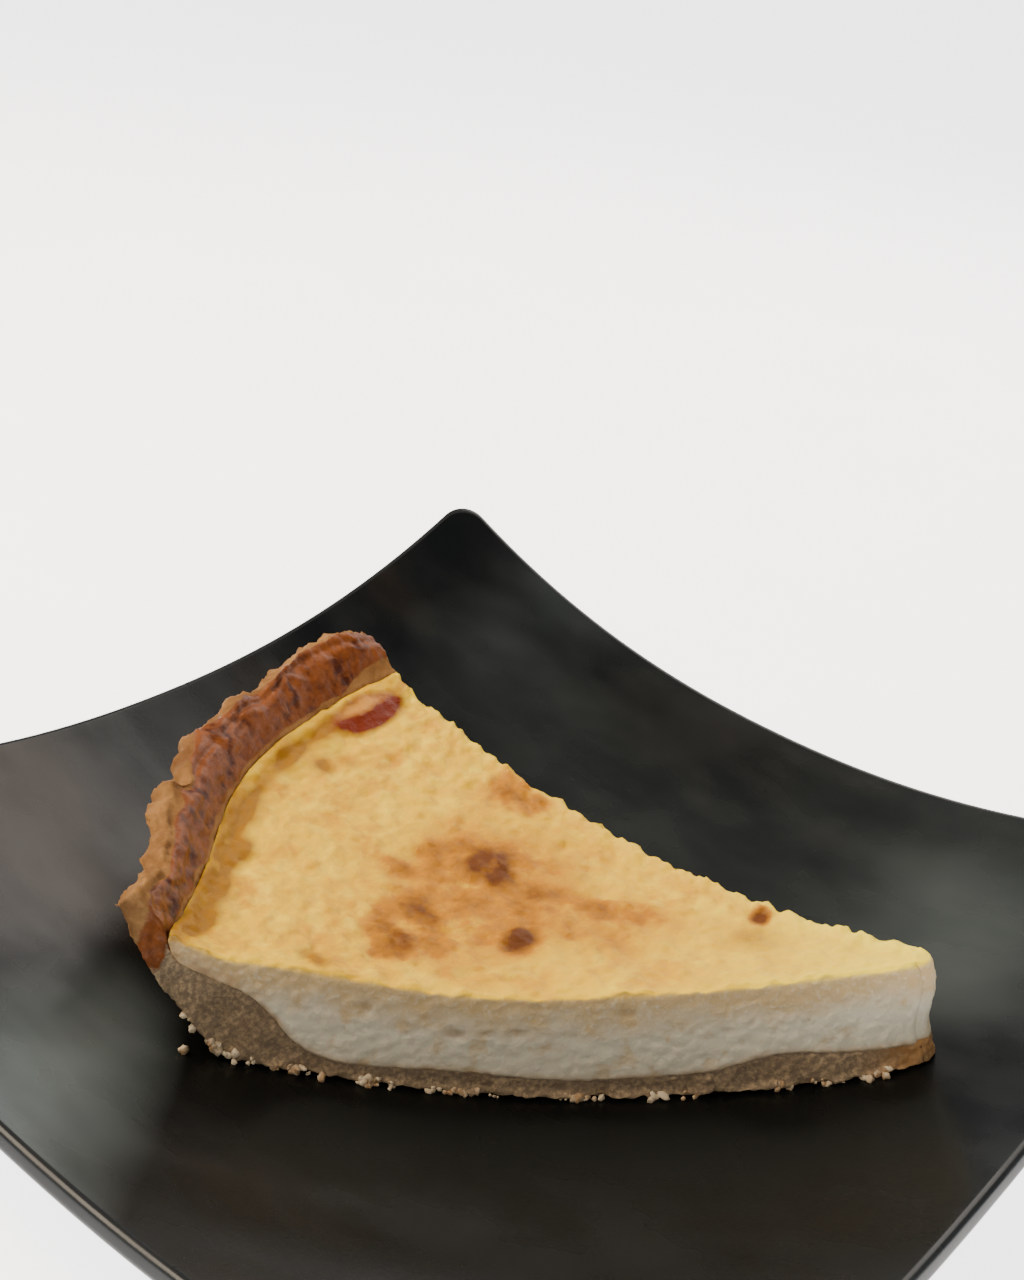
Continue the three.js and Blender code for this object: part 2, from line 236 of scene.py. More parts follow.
# Amber stains, where butter and egg pooled and turned golden.
AMBER = (
    (130.4, -15.4, 2, 3.2, 1.3),
    (124.2, -18, 2.4, 2.6, 0.9),
    (120.5, -22.6, 2.8, 2.6, 0.55),
    (127.8, -27, 2.2, 4, 0.8),
    (129, 3.4, 1.8, 4, 0.85),
    (125.6, 16, 1.8, 3.4, 1.3),
    (122.6, 27, 2, 3.4, 1),
    (119.5, 39, 2, 4.6, 0.8),
    (99.3, 37.5, 3, 2.4, 0.9),
    (29.8, -3.4, 6, 4.2, 0.5),
    (64, 6, 14, 7, 0.25),
    (112, 34, 8, 4, 0.2),
)

# Where the larger crumbs hang together under the near cut: lengths from the tip.
CRUMB_CLUSTERS = (122, 117.5, 112, 102, 91.5, 76, 57, 44.5, 24, 9)

# The caramelised blister by the rim: place, half length, half width, turn in degrees.
CARAMEL = (122.8, -37.2, 10.5, 4.2, 66)

# Holes that show at the near cut: length from the tip, height, half length, half height, depth.
CUT_HOLES = (
    (79.6, 11.4, 1.7, 1, 0.6),
    (74, 11.9, 1.2, 0.6, 0.5),
    (69, 12.3, 1.3, 0.7, 0.5),
    (95, 14.5, 1, 1.3, 0.5),
    (50.4, 16.4, 1.8, 0.9, 0.4),
    (33, 12.4, 0.9, 0.5, 0.4),
)

# Smooth lumps of the filling: their size, the seed and the rounds of finer ones. Grains have a size and
# a seed only.
FAR_TEETH = (2.4, 3, 2)
FAR_CRUMBLE = (2.1, 4, 2)
FAR_GRAINS = (1.9, 18)
FAR_FACE = (3.6, 12, 3)
LIP_LUMPS = (3.5, 6)
LIP_GROOVE = (5, 7)
RIPPLES = (6, 8, 3)
FINE_RIPPLES = (2.6, 9, 2)
CURDS_ON_TOP = (3.4, 10)
FINE_CURDS_ON_TOP = (1.7, 11)
CUT_WAVES = (8, 13, 2)
CUT_LUMPS = (2.4, 14, 2)
CUT_CURDS = (1.9, 17)
HOLE_LUMPS = (1.1, 16)
MATT_SKIN = (1.1, 15, 2)
BROWN_CLOUDS = (5.5, 21, 3)
WARP_ALONG = (6, 22, 3)
WARP_ACROSS = (6, 23, 3)
STAIN_LUMPS = (1.6, 24, 2)

# The same of the pastry and of the crumbs.
GROOVE_LUMPS = (3.0, 30, 2)
RAGGED = (4.2, 31, 3)
FINE_RAGGED = (1.5, 32, 2)
CUT_RUGGED = (4.4, 33, 3)
WRINKLE_BEND = (3.2, 35, 2)
WRINKLES = (1.0, 36, 2)
GRAIN_SEED = 37
SANDY_LUMPS = (2.8, 38, 2)
STICKY_LUMPS = (3, 44, 3)
FINE_STICKY = (1.3, 39, 2)
CRUMB_LUMPS = (0.9, 41, 2)
CRUMBLY_FOOT = (2.8, 42, 3)
CREST_WANDER = (4.5, 43, 2)
VALLEY_LUMPS = (3.4, 44, 2)
OUTSIDE_LUMPS = (3.2, 45, 2)
HOLE_SEED = 11
CRUMB_SEED = 5

# How far the browning strays from its marks.
WARP = 1.9

# Crumbs come in clusters of this many, up to this far from the tip, and this far apart.
CRUMBS_IN_CLUSTER = 5
CRUMB_REACH = (1, 126)
CRUMB_SPREAD = 1.1
LOOSE_CRUMB_AWAY = 0.8
LOOSE_CRUMB_SHARE = 0.04


def linear(colour):
    """Linear red, green, blue and alpha of an sRGB hex colour."""
    parts = [int(colour[i : i + 2], 16) / 255 for i in (0, 2, 4)]
    return tuple(p / 12.92 if p < 0.04045 else ((p + 0.055) / 1.055) ** 2.4 for p in parts) + (1.0,)


def colour_setting(name, description, colour):
    return bpy.props.FloatVectorProperty(
        name=name, description=description, subtype="COLOR", size=4, min=0, max=1, default=linear(colour)
    )


def length_setting(name, description, millimetres):
    size = millimetres * MM
    return bpy.props.FloatProperty(
        name=name, description=description, default=size, min=0, unit="LENGTH", subtype="DISTANCE"
    )


def angle_setting(name, description, degrees):
    return bpy.props.FloatProperty(
        name=name, description=description, default=math.radians(degrees), subtype="ANGLE"
    )


def power_setting(name, description, watts):
    return bpy.props.FloatProperty(
        name=name, description=description, default=watts, min=0, subtype="POWER", unit="POWER"
    )


def plain_setting(name, description, value):
    return bpy.props.FloatProperty(name=name, description=description, default=value, min=0)


class PlateSettings(bpy.types.PropertyGroup):
    """Sizes and colours of the plate."""

    glaze: colour_setting("Glaze", "The black glaze where it is thick", "080b0c")
    thin_glaze: colour_setting("Thin glaze", "The glaze where it pulled thin over the clay", "261f19")
    # This cool colour is painted reflection of the room's light on the glaze, by one edge and in spots.
    painted_reflection: colour_setting("Haze", "The cool haze on the glaze by one edge", "626c6e")
    bare_edge: colour_setting("Edge", "The edge, where glaze runs thin in the kiln", "1e2022")
    cloud_size: length_setting("Cloud size", "Spacing of the glaze's soft clouds", 34)


class PastrySettings(bpy.types.PropertyGroup):
    """Sizes and colours of the pastry."""

    crumb: colour_setting("Crumb", "Pastry where the knife went through it", "87745e")
    floury: colour_setting("Floury", "Floury grains of the crumb", "b39a75")
    # A darker tone of the crumb, laid in random patches.
    darker_crumb: colour_setting("Dense crumb", "Crumb where it is moist and dense", "745d46")
    baked: colour_setting("Baked", "The dry outer crust", "9a6f3e")
    toasted: colour_setting("Toasted", "Crust that baked darker", "704a26")
    toasted_end: colour_setting("Toasted end", "The darker end under the tip", "a67a4a")
    glazed: colour_setting("Crest", "The dark, sticky inner side of the crest", "451c07")
    # In the wrinkles' valleys, painted shade pulls the crest from this colour toward the darker one.
    glazed_thin: colour_setting("Thin crest", "The crest where less custard baked on", "83481e")
    grain: length_setting("Grain", "Size of the pastry's crumbs", 1.3)
    grain_depth: length_setting("Grain depth", "How far the crumbs stand out", 0.34)
    wrinkle_spacing: length_setting("Wrinkle spacing", "Spacing of the crest's short wrinkles", 2.2)


class CustardSettings(bpy.types.PropertyGroup):
    """Sizes and colours of the filling."""

    skin: colour_setting("Skin", "The yellow skin", "e8b812")
    deep_skin: colour_setting("Deep skin", "Skin where it is thicker", "d29610")
    # Also painted highlight along the top's cut edges and painted light toward the tip.
    pale_and_highlit_skin: colour_setting("Pale skin", "Skin that hardly coloured", "fbe038")
    golden: colour_setting("Golden", "Skin that turned golden by the rim", "9c6a08")
    toasted: colour_setting("Toasted", "Skin that started to brown", "bc7c10")
    browned: colour_setting("Browned", "Skin that browned", "8c580a")
    scorched: colour_setting("Scorched", "The darkest spots", "60330a")
    # Painted highlight: glints over the browned skin and the caramel blister's lit upper side.
    painted_highlight: colour_setting("Film", "The milky film over browned skin", "dfa040")
    caramel: colour_setting("Caramel", "The caramelised blister by the rim", "6a2204")
    cut: colour_setting("Cut", "The white custard at the cut", "dfd5bb")
    upper_cut: colour_setting("Upper cut", "Custard just under the skin", "ccae7e")
    curd: colour_setting("Curd", "Flecks of curd at the cut", "eae2cc")
    # Also painted shade inside the near cut's holes.
    stain_and_hole_shade: colour_setting("Stain", "Custard that soaked up butter from the pastry", "a5825c")
    hole_count: bpy.props.IntProperty(name="Holes", description="Small holes in the near cut", default=16)
    hole_size: length_setting("Hole size", "Half the width of the largest small hole", 0.4)


class CrumbSettings(bpy.types.PropertyGroup):
    """Sizes and colours of the loose crumbs."""

    colour: colour_setting("Crumbs", "Dry pastry crumbs", "cfbc9c")
    toasted: colour_setting("Toasted", "Crumbs that baked darker", "9a7a56")
    floury: colour_setting("Floury", "Flour on the crumbs", "d8cbb0")
    count: bpy.props.IntProperty(name="Count", description="How many crumbs there are", default=230, min=0)
    smallest: length_setting("Smallest", "Radius of the smallest crumb", 0.22)
    largest: length_setting("Largest", "Radius of the largest crumb", 1.15)


class StageSettings(bpy.types.PropertyGroup):
    """Floor, lights and camera."""

    floor: colour_setting("Floor", "The plain floor", "f4f4f3")
    floor_shade: colour_setting("Floor shade", "The coat where it is thinner", "ecebe9")
    floor_glow: plain_setting("Floor glow", "How much the floor glows", 3.6)
    key_power: power_setting("Key light", "The large soft light high behind, to the left", 15)
    window_power: power_setting("Window light", "The soft light low behind, to the right", 3.5)
    fill_power: power_setting("Fill light", "The soft light in front, to the left", 3.4)
    horizon: plain_setting("Horizon", "Brightness low round the room", 3.4)
    overhead: plain_setting("Overhead", "Brightness over the table", 0.2)
    lens: bpy.props.FloatProperty(
        name="Lens", description="Focal length in millimetres", default=48.0, subtype="DISTANCE_CAMERA"
    )
    azimuth: angle_setting("Azimuth", "Camera's turn round the plate", -53.47)
    elevation: angle_setting("Elevation", "Camera's angle above the table", 26.97)
    roll: angle_setting("Roll", "Camera's tilt to the side", 7.58)
    distance: length_setting("Distance", "Camera to the point in the middle of the picture", 428.985)


def smooth_step(x, start, end):
    t = np.clip((x - start) / (end - start), 0, 1)
    return t * t * (3 - 2 * t)


def bell(distance, width):
    return np.exp(-((distance / width) ** 2))


def random_of(cells, seed):
    """A repeatable random number from 0 to 1 for each whole-numbered cell in space."""
    x, y, z = np.moveaxis(cells.astype(np.int64), -1, 0)
    mixed = (x * 73856093) ^ (y * 19349663) ^ (z * 83492791) ^ (seed * 50331653)
    mixed = (mixed ^ (mixed >> 13)) * 1274126177
    mixed = mixed ^ (mixed >> 16)
    return (mixed & 0xFFFFFF) / 0xFFFFFF


def lumps(points, size, seed, rounds=1):
    """Smooth noise from -1 to 1 with lumps of that size; each further round adds lumps half as large."""
    total = 0
    weight = 0
    for step in range(rounds):
        place = points / size * 2**step + seed * 7.31
        cell = np.floor(place)
        t = place - cell
        t = t * t * (3 - 2 * t)
        value = 0
        for corner in np.ndindex(2, 2, 2):
            share = np.prod(np.where(corner, t, 1 - t), axis=-1)
            value = value + share * random_of(cell + corner, seed + step)
        total = total + (2 * value - 1) / 2**step
        weight += 1 / 2**step
    return total / weight


def grains(points, size, seed):
    """Closeness to the nearest of scattered grains, from 1 at a grain's middle down to 0."""
    place = points / size
    cell = np.floor(place)
    nearest = np.full(len(points), 9.0)
    for offset in np.ndindex(3, 3, 3):
        neighbour = cell + offset - 1
        centre = np.stack([random_of(neighbour, seed + axis) for axis in range(3)], -1)
        nearest = np.minimum(nearest, np.linalg.norm(neighbour + centre - place, axis=-1))
    return np.clip(1 - nearest, 0, 1)


def on_dish(x, y, height):
    """Points at a height over the dish, measured square to its upper face."""
    u = np.abs(x) / PLATE_HALF
    v = np.abs(y) / PLATE_HALF
    slope = SIDE_RISE * DISH_POWER / PLATE_HALF
    lean_x = -np.sign(x) * slope * u ** (DISH_POWER - 1)
    lean_y = -np.sign(y) * slope * v ** (DISH_POWER - 1)
    normal = np.stack([lean_x, lean_y, np.ones_like(lean_x)], -1)
    normal /= np.linalg.norm(normal, axis=-1, keepdims=True)
    z = SIDE_RISE * (u**DISH_POWER + v**DISH_POWER) + MIDDLE_HEIGHT
    return np.stack([x, y, z], -1) + normal * np.asarray(height)[..., None]


def in_slice(along, across, height):
    """Points of the slice, from their places along and across it and their heights over the plate."""
    x = TIP[0] + along * math.cos(HEADING) - across * math.sin(HEADING)
    y = TIP[1] + along * math.sin(HEADING) + across * math.cos(HEADING)
    return on_dish(x, y, height)


def profile(points, x):
    """A smooth curve through the listed points."""
    knots, values = np.array(points, float).T
    last = len(points) - 1
    before = np.maximum(np.arange(last + 1) - 1, 0)
    after = np.minimum(np.arange(last + 1) + 1, last)
    slopes = (values[after] - values[before]) / (knots[after] - knots[before])
    slopes[-1] = 0
    i = np.clip(np.searchsorted(knots, x, side="right") - 1, 0, last - 1)
    width = knots[i + 1] - knots[i]
    t = np.clip((x - knots[i]) / width, 0, 1)
    bend = slopes[i] * width * t * (1 - t) ** 2 - slopes[i + 1] * width * t * t * (1 - t)
    return values[i] + (values[i + 1] - values[i]) * t * t * (3 - 2 * t) + bend


def circle_length(side, inset):
    """Length of the rays from the tip to a circle inside the rim's. Side 0 is the near cut, 1 the far."""
    angle = HALF_WEDGE * (1 - 2 * side)
    dx = -RIM_ALONG
    dy = TIP_WIDTH * (0.5 - side) - RIM_ACROSS
    toward = dx * np.cos(angle) + dy * np.sin(angle)
    return -toward + np.sqrt(toward**2 - dx**2 - dy**2 + (RIM_RADIUS - inset) ** 2)


def on_ray(side, length):
    angle = HALF_WEDGE * (1 - 2 * side)
    return length * np.cos(angle), TIP_WIDTH * (0.5 - side) + length * np.sin(angle)


def direction_of(along, across):
    """Direction from the rim's centre, in degrees on the plate."""
    return np.degrees(np.arctan2(across - RIM_ACROSS, along - RIM_ALONG) + HEADING)


def flattening(along, across):
    return FLAT_DEPTH * bell(direction_of(along, across) - FLAT_DIRECTION, FLAT_WIDTH)


def inset_of(along, across):
    """Distance in from the rim's crest."""
    distance = np.hypot(along - RIM_ALONG, across - RIM_ACROSS)
    return np.where(along > RIM_ALONG, RIM_RADIUS - distance - flattening(along, across), RIM_RADIUS)


def ray_length(side, inset):
    """Length of the rays out to the line that lies that far in from the crest."""
    length = circle_length(side, inset)
    for _ in range(4):
        length = circle_length(side, inset + flattening(*on_ray(side, length)))
    return length


def from_cuts(along, across):
    """Distances in from the near cut and from the far one."""
    rise = along * math.sin(HALF_WEDGE)
    return (
        rise - (across - TIP_WIDTH / 2) * math.cos(HALF_WEDGE),
        rise + (across + TIP_WIDTH / 2) * math.cos(HALF_WEDGE),
    )


def near_end_spread(along, across, inset):
    """How much thinner the rim is at its near end, where the filling reaches further out."""
    on_wall = smooth_step(inset, *NEAR_END_STARTS) * (1 - smooth_step(inset, *NEAR_END_ENDS))
    return NEAR_END_SPREAD * bell(from_cuts(along, across)[0], NEAR_END_WIDTH) * on_wall


def pastry_top(along, across, inset):
    """Height of the pastry under the filling: its inner face, uneven where the base was pressed in."""
    wave = np.sin(along / 11.5 + 0.4) * np.cos(across / 17) + 0.5 * np.sin(along / 5.2)
    on_base = smooth_step(inset, LEVEL_BASE_FROM_RIM / 2, LEVEL_BASE_FROM_RIM)
    swell_along, swell_across, long, wide, lift = BASE_SWELL
    swell = lift * turned_bell(along, across, (swell_along, swell_across, long, wide, 0))
    wall = profile(PASTRY_INSIDE, inset + near_end_spread(along, across, inset))
    return wall + on_base * 0.7 * wave + swell


def turned_bell(along, across, mark):
    """Closeness to a mark's middle, from a mark of place, half length, half width and turn."""
    at_along, at_across, long, wide, turn = mark
    angle = math.radians(turn)
    dx = along - at_along
    dy = across - at_across
    x = dx * math.cos(angle) + dy * math.sin(angle)
    y = dy * math.cos(angle) - dx * math.sin(angle)
    return bell(np.hypot(x / long, y / wide), 1)


def marked(along, across, marks, sharpness=3):
    """The strongest of the marks at each place. Sharper ones are even inside and end more suddenly."""
    strength = np.zeros_like(along)
    for at_along, at_across, long, wide, amount in marks:
        distance = np.hypot((along - at_along) / long, (across - at_across) / wide)
        here = amount * np.exp(-(distance**sharpness))
        strength = np.maximum(strength, here) + MARKS_ADD_UP * np.minimum(strength, here)
    return strength


def custard_top(along, across):
    """Height of the baked top: uneven, sunken inside the rim, blistered where it browned."""
    inset = inset_of(along, across)
    height = SLICE_HEIGHT - 0.003 * along
    far = from_cuts(along, across)[1]
    height = height + 0.35 * bell(far, 3)
    height = height + 0.25 * np.sin(along / 9 + 0.8) * np.sin(across / 8 + 0.3)
    height = height - MOAT_DEPTH * bell(inset - MOAT_FROM_RIM, MOAT_WIDTH)
    for at_along, at_across, long, wide, lift, turn in TOP_RELIEF:
        height = height + lift * turned_bell(along, across, (at_along, at_across, long, wide, turn))
    return height


def crest_push(along, across, inset):
    """Push out and lift that the crest's bumps give."""
    direction = direction_of(along, across)
    share = 1 - smooth_step(inset, 1, CREST_WIDTH)
    push = sum(out * bell(direction - at, width) for at, width, out, _ in CREST_BUMPS)
    lift = sum(up * bell(direction - at, width) for at, width, _, up in CREST_BUMPS)
    return push * share, lift * share


def round_edge(first, second, radius):
    """Moves in from two faces that round the edge between them, for distances from the two faces."""
    closeness = np.clip(1 - first / radius, 0, 1) * np.clip(1 - second / radius, 0, 1)
    turn = closeness * math.pi / 4
    bulge = radius * (1 - np.cos(turn))
    slide = radius * (closeness - np.sin(turn))
    return np.where(first < second, bulge, slide), np.where(first < second, slide, bulge)


def denser_at_ends(share, amount):
    return share - amount / (2 * math.pi) * np.sin(2 * math.pi * share)


def block_shell(ni, nj, nk):
    """Places from 0 to 1 in a block, and quads, of the shell round ni by nj by nk cells."""
    i, j, k = np.meshgrid(np.arange(ni + 1), np.arange(nj + 1), np.arange(nk + 1), indexing="ij")
    on_shell = (i % ni == 0) | (j % nj == 0) | (k % nk == 0)
    number = np.full(on_shell.shape, -1)
    number[on_shell] = np.arange(on_shell.sum())
    sides = (
        (number[:, :, nk], -1),
        (number[:, :, 0], 1),
        (number[:, 0, :], -1),
        (number[:, nj, :], 1),
        (number[0], 1),
        (number[ni], -1),
    )
    quads = []
    for grid, order in sides:
        corners = [grid[:-1, :-1], grid[1:, :-1], grid[1:, 1:], grid[:-1, 1:]]
        quads.append(np.stack(corners, -1).reshape(-1, 4)[:, ::order])
    places = np.stack([i[on_shell] / ni, j[on_shell] / nj, k[on_shell] / nk])
    return places, np.concatenate(quads)


def normals_of(points, quads):
    a, b, c, d = (points[quads[:, corner]] for corner in range(4))
    facing = np.cross(c - a, d - b)
    total = np.zeros_like(points)
    for corner in range(4):
        np.add.at(total, quads[:, corner], facing)
    return total / np.maximum(np.linalg.norm(total, axis=-1, keepdims=True), 1e-9)


def make_piece(name, points, faces, material, attributes=None):
    """A smooth shaded mesh from points in millimetres, with its named values at each point."""
    mesh = bpy.data.meshes.new(name)
    mesh.from_pydata((points * MM).tolist(), [], faces.tolist())
    for key, values in (attributes or {}).items():
        made = mesh.attributes.new(key, "FLOAT", "POINT")
        made.data.foreach_set("value", np.asarray(values, np.float32))
    mesh.shade_smooth()
    mesh.materials.append(material)
    piece = bpy.data.objects.new(name, mesh)
    bpy.context.scene.collection.objects.link(piece)
    return piece


def add(tree, kind, inputs=None, out=None, stops=(), **settings):
    """Adds a node and returns one of its outputs. Inputs are values or other outputs, by the socket's name
    or number, stops are a colour ramp's places and colours, and the rest are the node's own settings."""
    made = tree.nodes.new("ShaderNode" + kind)
    for name, value in settings.items():
        setattr(made, name, value)
    for number, (place, colour) in enumerate(stops):
        ramp = made.color_ramp.elements
        stop = ramp[number] if number < 2 else ramp.new(place)
        stop.position = place
        stop.color = colour
    for key, value in (inputs or {}).items():
        if isinstance(value, bpy.types.NodeSocket):
            tree.links.new(value, made.inputs[key])
        else:
            made.inputs[key].default_value = value
    return made.outputs[out] if out else next(o for o in made.outputs if o.enabled)


def new_material(name, **values):
    """A material with one principled shader, whose plain values are set on its own sockets."""
    material = bpy.data.materials.new(name)
    material.use_nodes = True
    tree = material.node_tree
    shader = next(n for n in tree.nodes if n.type == "BSDF_PRINCIPLED")
    for key, value in values.items():
        shader.inputs[key.replace("_", " ")].default_value = value
    return material, tree, shader


def link_up(tree, shader, **outputs):
    """Links outputs to the shader's own sockets, whose names have spaces for the underlines."""
    for key, output in outputs.items():
        tree.links.new(output, shader.inputs[key.replace("_", " ")])


def black_glazed_stoneware(settings):
    """Stoneware with a satin black glaze, pressed in a mould and dipped. The glaze pools and thins into
    soft brown clouds that run one way, and its skin is slightly wavy, so that reflections are broad. A cool
    painted reflection is laid into its colour by one edge and in spots, and painted shade darkens the
    front."""
    material, tree, shader = new_material("black_glazed_stoneware", IOR=1.5, Specular_IOR_Level=0.22)
    place = add(tree, "TexCoord", out="Object")
    along = add(tree, "Mapping", {"Vector": place, "Scale": (1, 0.5, 1), "Location": (0.013, 0.04, 0)})
    cloud = {"Vector": along, "Scale": 1 / settings.cloud_size, "Detail": 3.0, "Roughness": 0.6}
    clouds = add(tree, "TexNoise", cloud)
    colour = settings.glaze
    zones = (
        # The thin glaze's share holds painted shade in front and painted reflection of the crust at the
        # left, beside the glaze's own clouds.
        ("thin", 0.42, 0.8, "SMOOTHSTEP", settings.thin_glaze),
        # Painted reflection: a cool, lighter colour by one edge and in spots.
        ("painted_reflection", 0.05, 0.6, "LINEAR", settings.painted_reflection),
    )
    for zone, low, high, kind, over in zones:
        share = add(tree, "Attribute", out="Fac", attribute_name=zone)
        share = add(tree, "Math", {0: clouds, 1: share}, operation="MULTIPLY")
        share = {"Value": share, "From Min": low, "From Max": high}
        share = add(tree, "MapRange", share, interpolation_type=kind)
        colour = add(tree, "Mix", {0: share, 6: colour, 7: over}, data_type="RGBA")
    edge = add(tree, "Attribute", out="Fac", attribute_name="edge")
    colour = add(tree, "Mix", {0: edge, 6: colour, 7: settings.bare_edge}, data_type="RGBA")
    worn = add(tree, "TexNoise", {"Vector": along, "Scale": 1 / (13 * MM), "Detail": 3.0})
    rough = {"Value": worn, "From Min": 0.3, "From Max": 0.7, "To Min": 0.21, "To Max": 0.33}
    rough = add(tree, "MapRange", rough, interpolation_type="SMOOTHSTEP")
    wave = add(tree, "TexNoise", {"Vector": place, "Scale": 1 / (11 * MM), "Detail": 1.0})
    grit = add(tree, "TexNoise", {"Vector": place, "Scale": 1 / (0.8 * MM), "Detail": 1.0})
    ripple = add(tree, "Math", {0: grit, 1: 0.08, 2: wave}, operation="MULTIPLY_ADD")
    bump = add(tree, "Bump", {"Strength": 0.3, "Distance": 0.4 * MM, "Height": ripple})
    link_up(tree, shader, Base_Color=colour, Roughness=rough, Normal=bump)
    return material


def baked_shortcrust(settings):
    """Butter shortcrust, pressed into the tin by hand. Its crumb is sandy and dry, its crust tan and
    toasted in patches, and the inner side of the crest is dark and sticky from baked on custard. Painted
    shade darkens the hollows between the flour grains and the valleys of the crest's wrinkles."""
    material, tree, shader = new_material("baked_shortcrust", IOR=1.45, Specular_IOR_Level=0.25)
    place = add(tree, "TexCoord", out="Object")
    sizes = ((7 * MM, 0.6), (0.6 * settings.grain, 0.65), (2.2 * MM, 0.7))
    patches, grains_of_flour, streaks = (
        add(tree, "TexNoise", {"Vector": place, "Scale": 1 / size, "Detail": 4.0, "Roughness": rough})
        for size, rough in sizes
    )
    names = ("cut", "toast", "crest", "valley_shade")
    on_cut, toast, crest, valley_shade = (
        add(tree, "Attribute", out="Fac", attribute_name=name) for name in names
    )

    crust = add(tree, "ValToRGB", {0: patches}, stops=((0.36, settings.baked), (0.64, settings.toasted)))
    floury = ((0.45, settings.crumb), (0.7, settings.floury))
    crumb = add(tree, "ValToRGB", {0: grains_of_flour}, stops=floury)
    dim = add(tree, "MapRange", {"Value": patches, "From Min": 0.45, "From Max": 0.7, "To Max": 0.4})
    crumb = add(tree, "Mix", {0: dim, 6: crumb, 7: settings.darker_crumb}, data_type="RGBA")
    patchy = add(tree, "MapRange", {"Value": streaks, "From Min": 0.3, "From Max": 0.6, "To Min": 0.4})
    toast = add(tree, "Math", {0: toast, 1: patchy}, operation="MULTIPLY")
    ragged = add(tree, "Math", {0: streaks, 1: 1.1, 2: crest}, operation="MULTIPLY_ADD")
    dark = add(tree, "MapRange", {"Value": ragged, "From Min": 0.95, "From Max": 1.25}, clamp=True)
    # Painted shade: the crest's wrinkle valleys pull its colour toward the darker crest colour.
    thin = add(tree, "Math", {0: valley_shade, 1: -0.4, 2: streaks}, operation="MULTIPLY_ADD")
    sticky = add(tree, "ValToRGB", {0: thin}, stops=((0.15, settings.glazed), (0.6, settings.glazed_thin)))
    colour = crust
    for share, over in ((on_cut, crumb), (toast, settings.toasted_end), (dark, sticky)):
        colour = add(tree, "Mix", {0: share, 6: colour, 7: over}, data_type="RGBA")

    # Painted shade: the colour darkens to four fifths where the flour grains' bump is low.
    hollow_shade_greys = ((0.25, (0.8, 0.8, 0.8, 1)), (0.7, (1, 1, 1, 1)))
    shade = add(tree, "ValToRGB", {0: grains_of_flour}, stops=hollow_shade_greys)
    colour = add(tree, "Mix", {0: 1.0, 6: colour, 7: shade}, data_type="RGBA", blend_type="MULTIPLY")
    gloss = add(tree, "MapRange", {"Value": dark, "To Min": 0.85, "To Max": 0.38})
    bump = add(tree, "Bump", {"Strength": 0.6, "Distance": 0.22 * MM, "Height": grains_of_flour})
    link_up(tree, shader, Base_Color=colour, Roughness=gloss, Normal=bump)
    return material


def custard_skin(tree, settings, place, patchy, fine):
    """The baked skin: yellow, golden by the rim and mottled brown where it rose; paler in random flecks,
    with painted highlight along the top's edges and painted light toward the tip, and painted glints on the
    browned patches and on the caramel blister's upper side.
    """
    names = ("pale", "amber", "brown", "painted_highlight", "caramel")
    pale, amber, brown, painted_highlight, caramel = (
        add(tree, "Attribute", out="Fac", attribute_name=name) for name in names
    )
    broad = add(tree, "TexNoise", {"Vector": place, "Scale": 1 / (9 * MM), "Detail": 5.0, "Roughness": 0.6})
    skin = add(tree, "ValToRGB", {0: broad}, stops=((0.42, settings.skin), (0.66, settings.deep_skin)))
    flecks = add(tree, "MapRange", {"Value": patchy, "From Min": 0.48, "From Max": 0.68, "To Max": 0.5})
    # Paler share: random flecks, with painted highlight along the top's edges and painted light toward the
    # tip.
    paler = add(tree, "Math", {0: flecks, 1: pale}, operation="MAXIMUM")
    cloudy = add(tree, "Math", {0: patchy, 1: 1.1, 2: 0.45}, operation="MULTIPLY_ADD")
    amber = add(tree, "Math", {0: amber, 1: cloudy}, operation="MULTIPLY")
    amber = add(tree, "MapRange", {"Value": amber, "From Min": 0.08, "From Max": 0.75})

    mottle = add(tree, "Math", {0: patchy, 1: 1.7, 2: -0.97}, operation="MULTIPLY_ADD")
    mottle = add(tree, "Math", {0: fine, 1: 0.2, 2: mottle}, operation="MULTIPLY_ADD")
    reach = add(tree, "MapRange", {"Value": brown, "From Min": 0.03, "From Max": 0.4, "To Max": 0.75})
    heat = add(tree, "Math", {0: mottle, 1: reach, 2: brown}, operation="MULTIPLY_ADD")
    stops = ((0.34, settings.toasted), (0.72, settings.browned), (1.0, settings.scorched))
    burnt = add(tree, "ValToRGB", {0: heat}, stops=stops)
    share = add(tree, "MapRange", {"Value": heat, "From Min": 0.03, "From Max": 0.34})

    # Painted highlight: glints on raised browned patches and on the caramel blister's upper side.
    painted_highlight = add(tree, "Math", {0: painted_highlight, 1: patchy}, operation="MULTIPLY")
    painted_highlight = add(tree, "MapRange", {"Value": painted_highlight, "From Min": 0.2, "From Max": 0.5, "To Max": 0.65})
    caramel = add(tree, "Math", {0: mottle, 1: 0.15, 2: caramel}, operation="MULTIPLY_ADD")
    caramel = add(tree, "MapRange", {"Value": caramel, "From Min": 0.3, "From Max": 0.55})
    layers = (
        (paler, settings.pale_and_highlit_skin),
        (amber, settings.golden),
        (share, burnt),
        (caramel, settings.caramel),
        (painted_highlight, settings.painted_highlight),
    )
    for share, over in layers:
        skin = add(tree, "Mix", {0: share, 6: skin, 7: over}, data_type="RGBA")
    return skin, add(tree, "MapRange", {"Value": caramel, "To Min": 0.55, "To Max": 0.42})


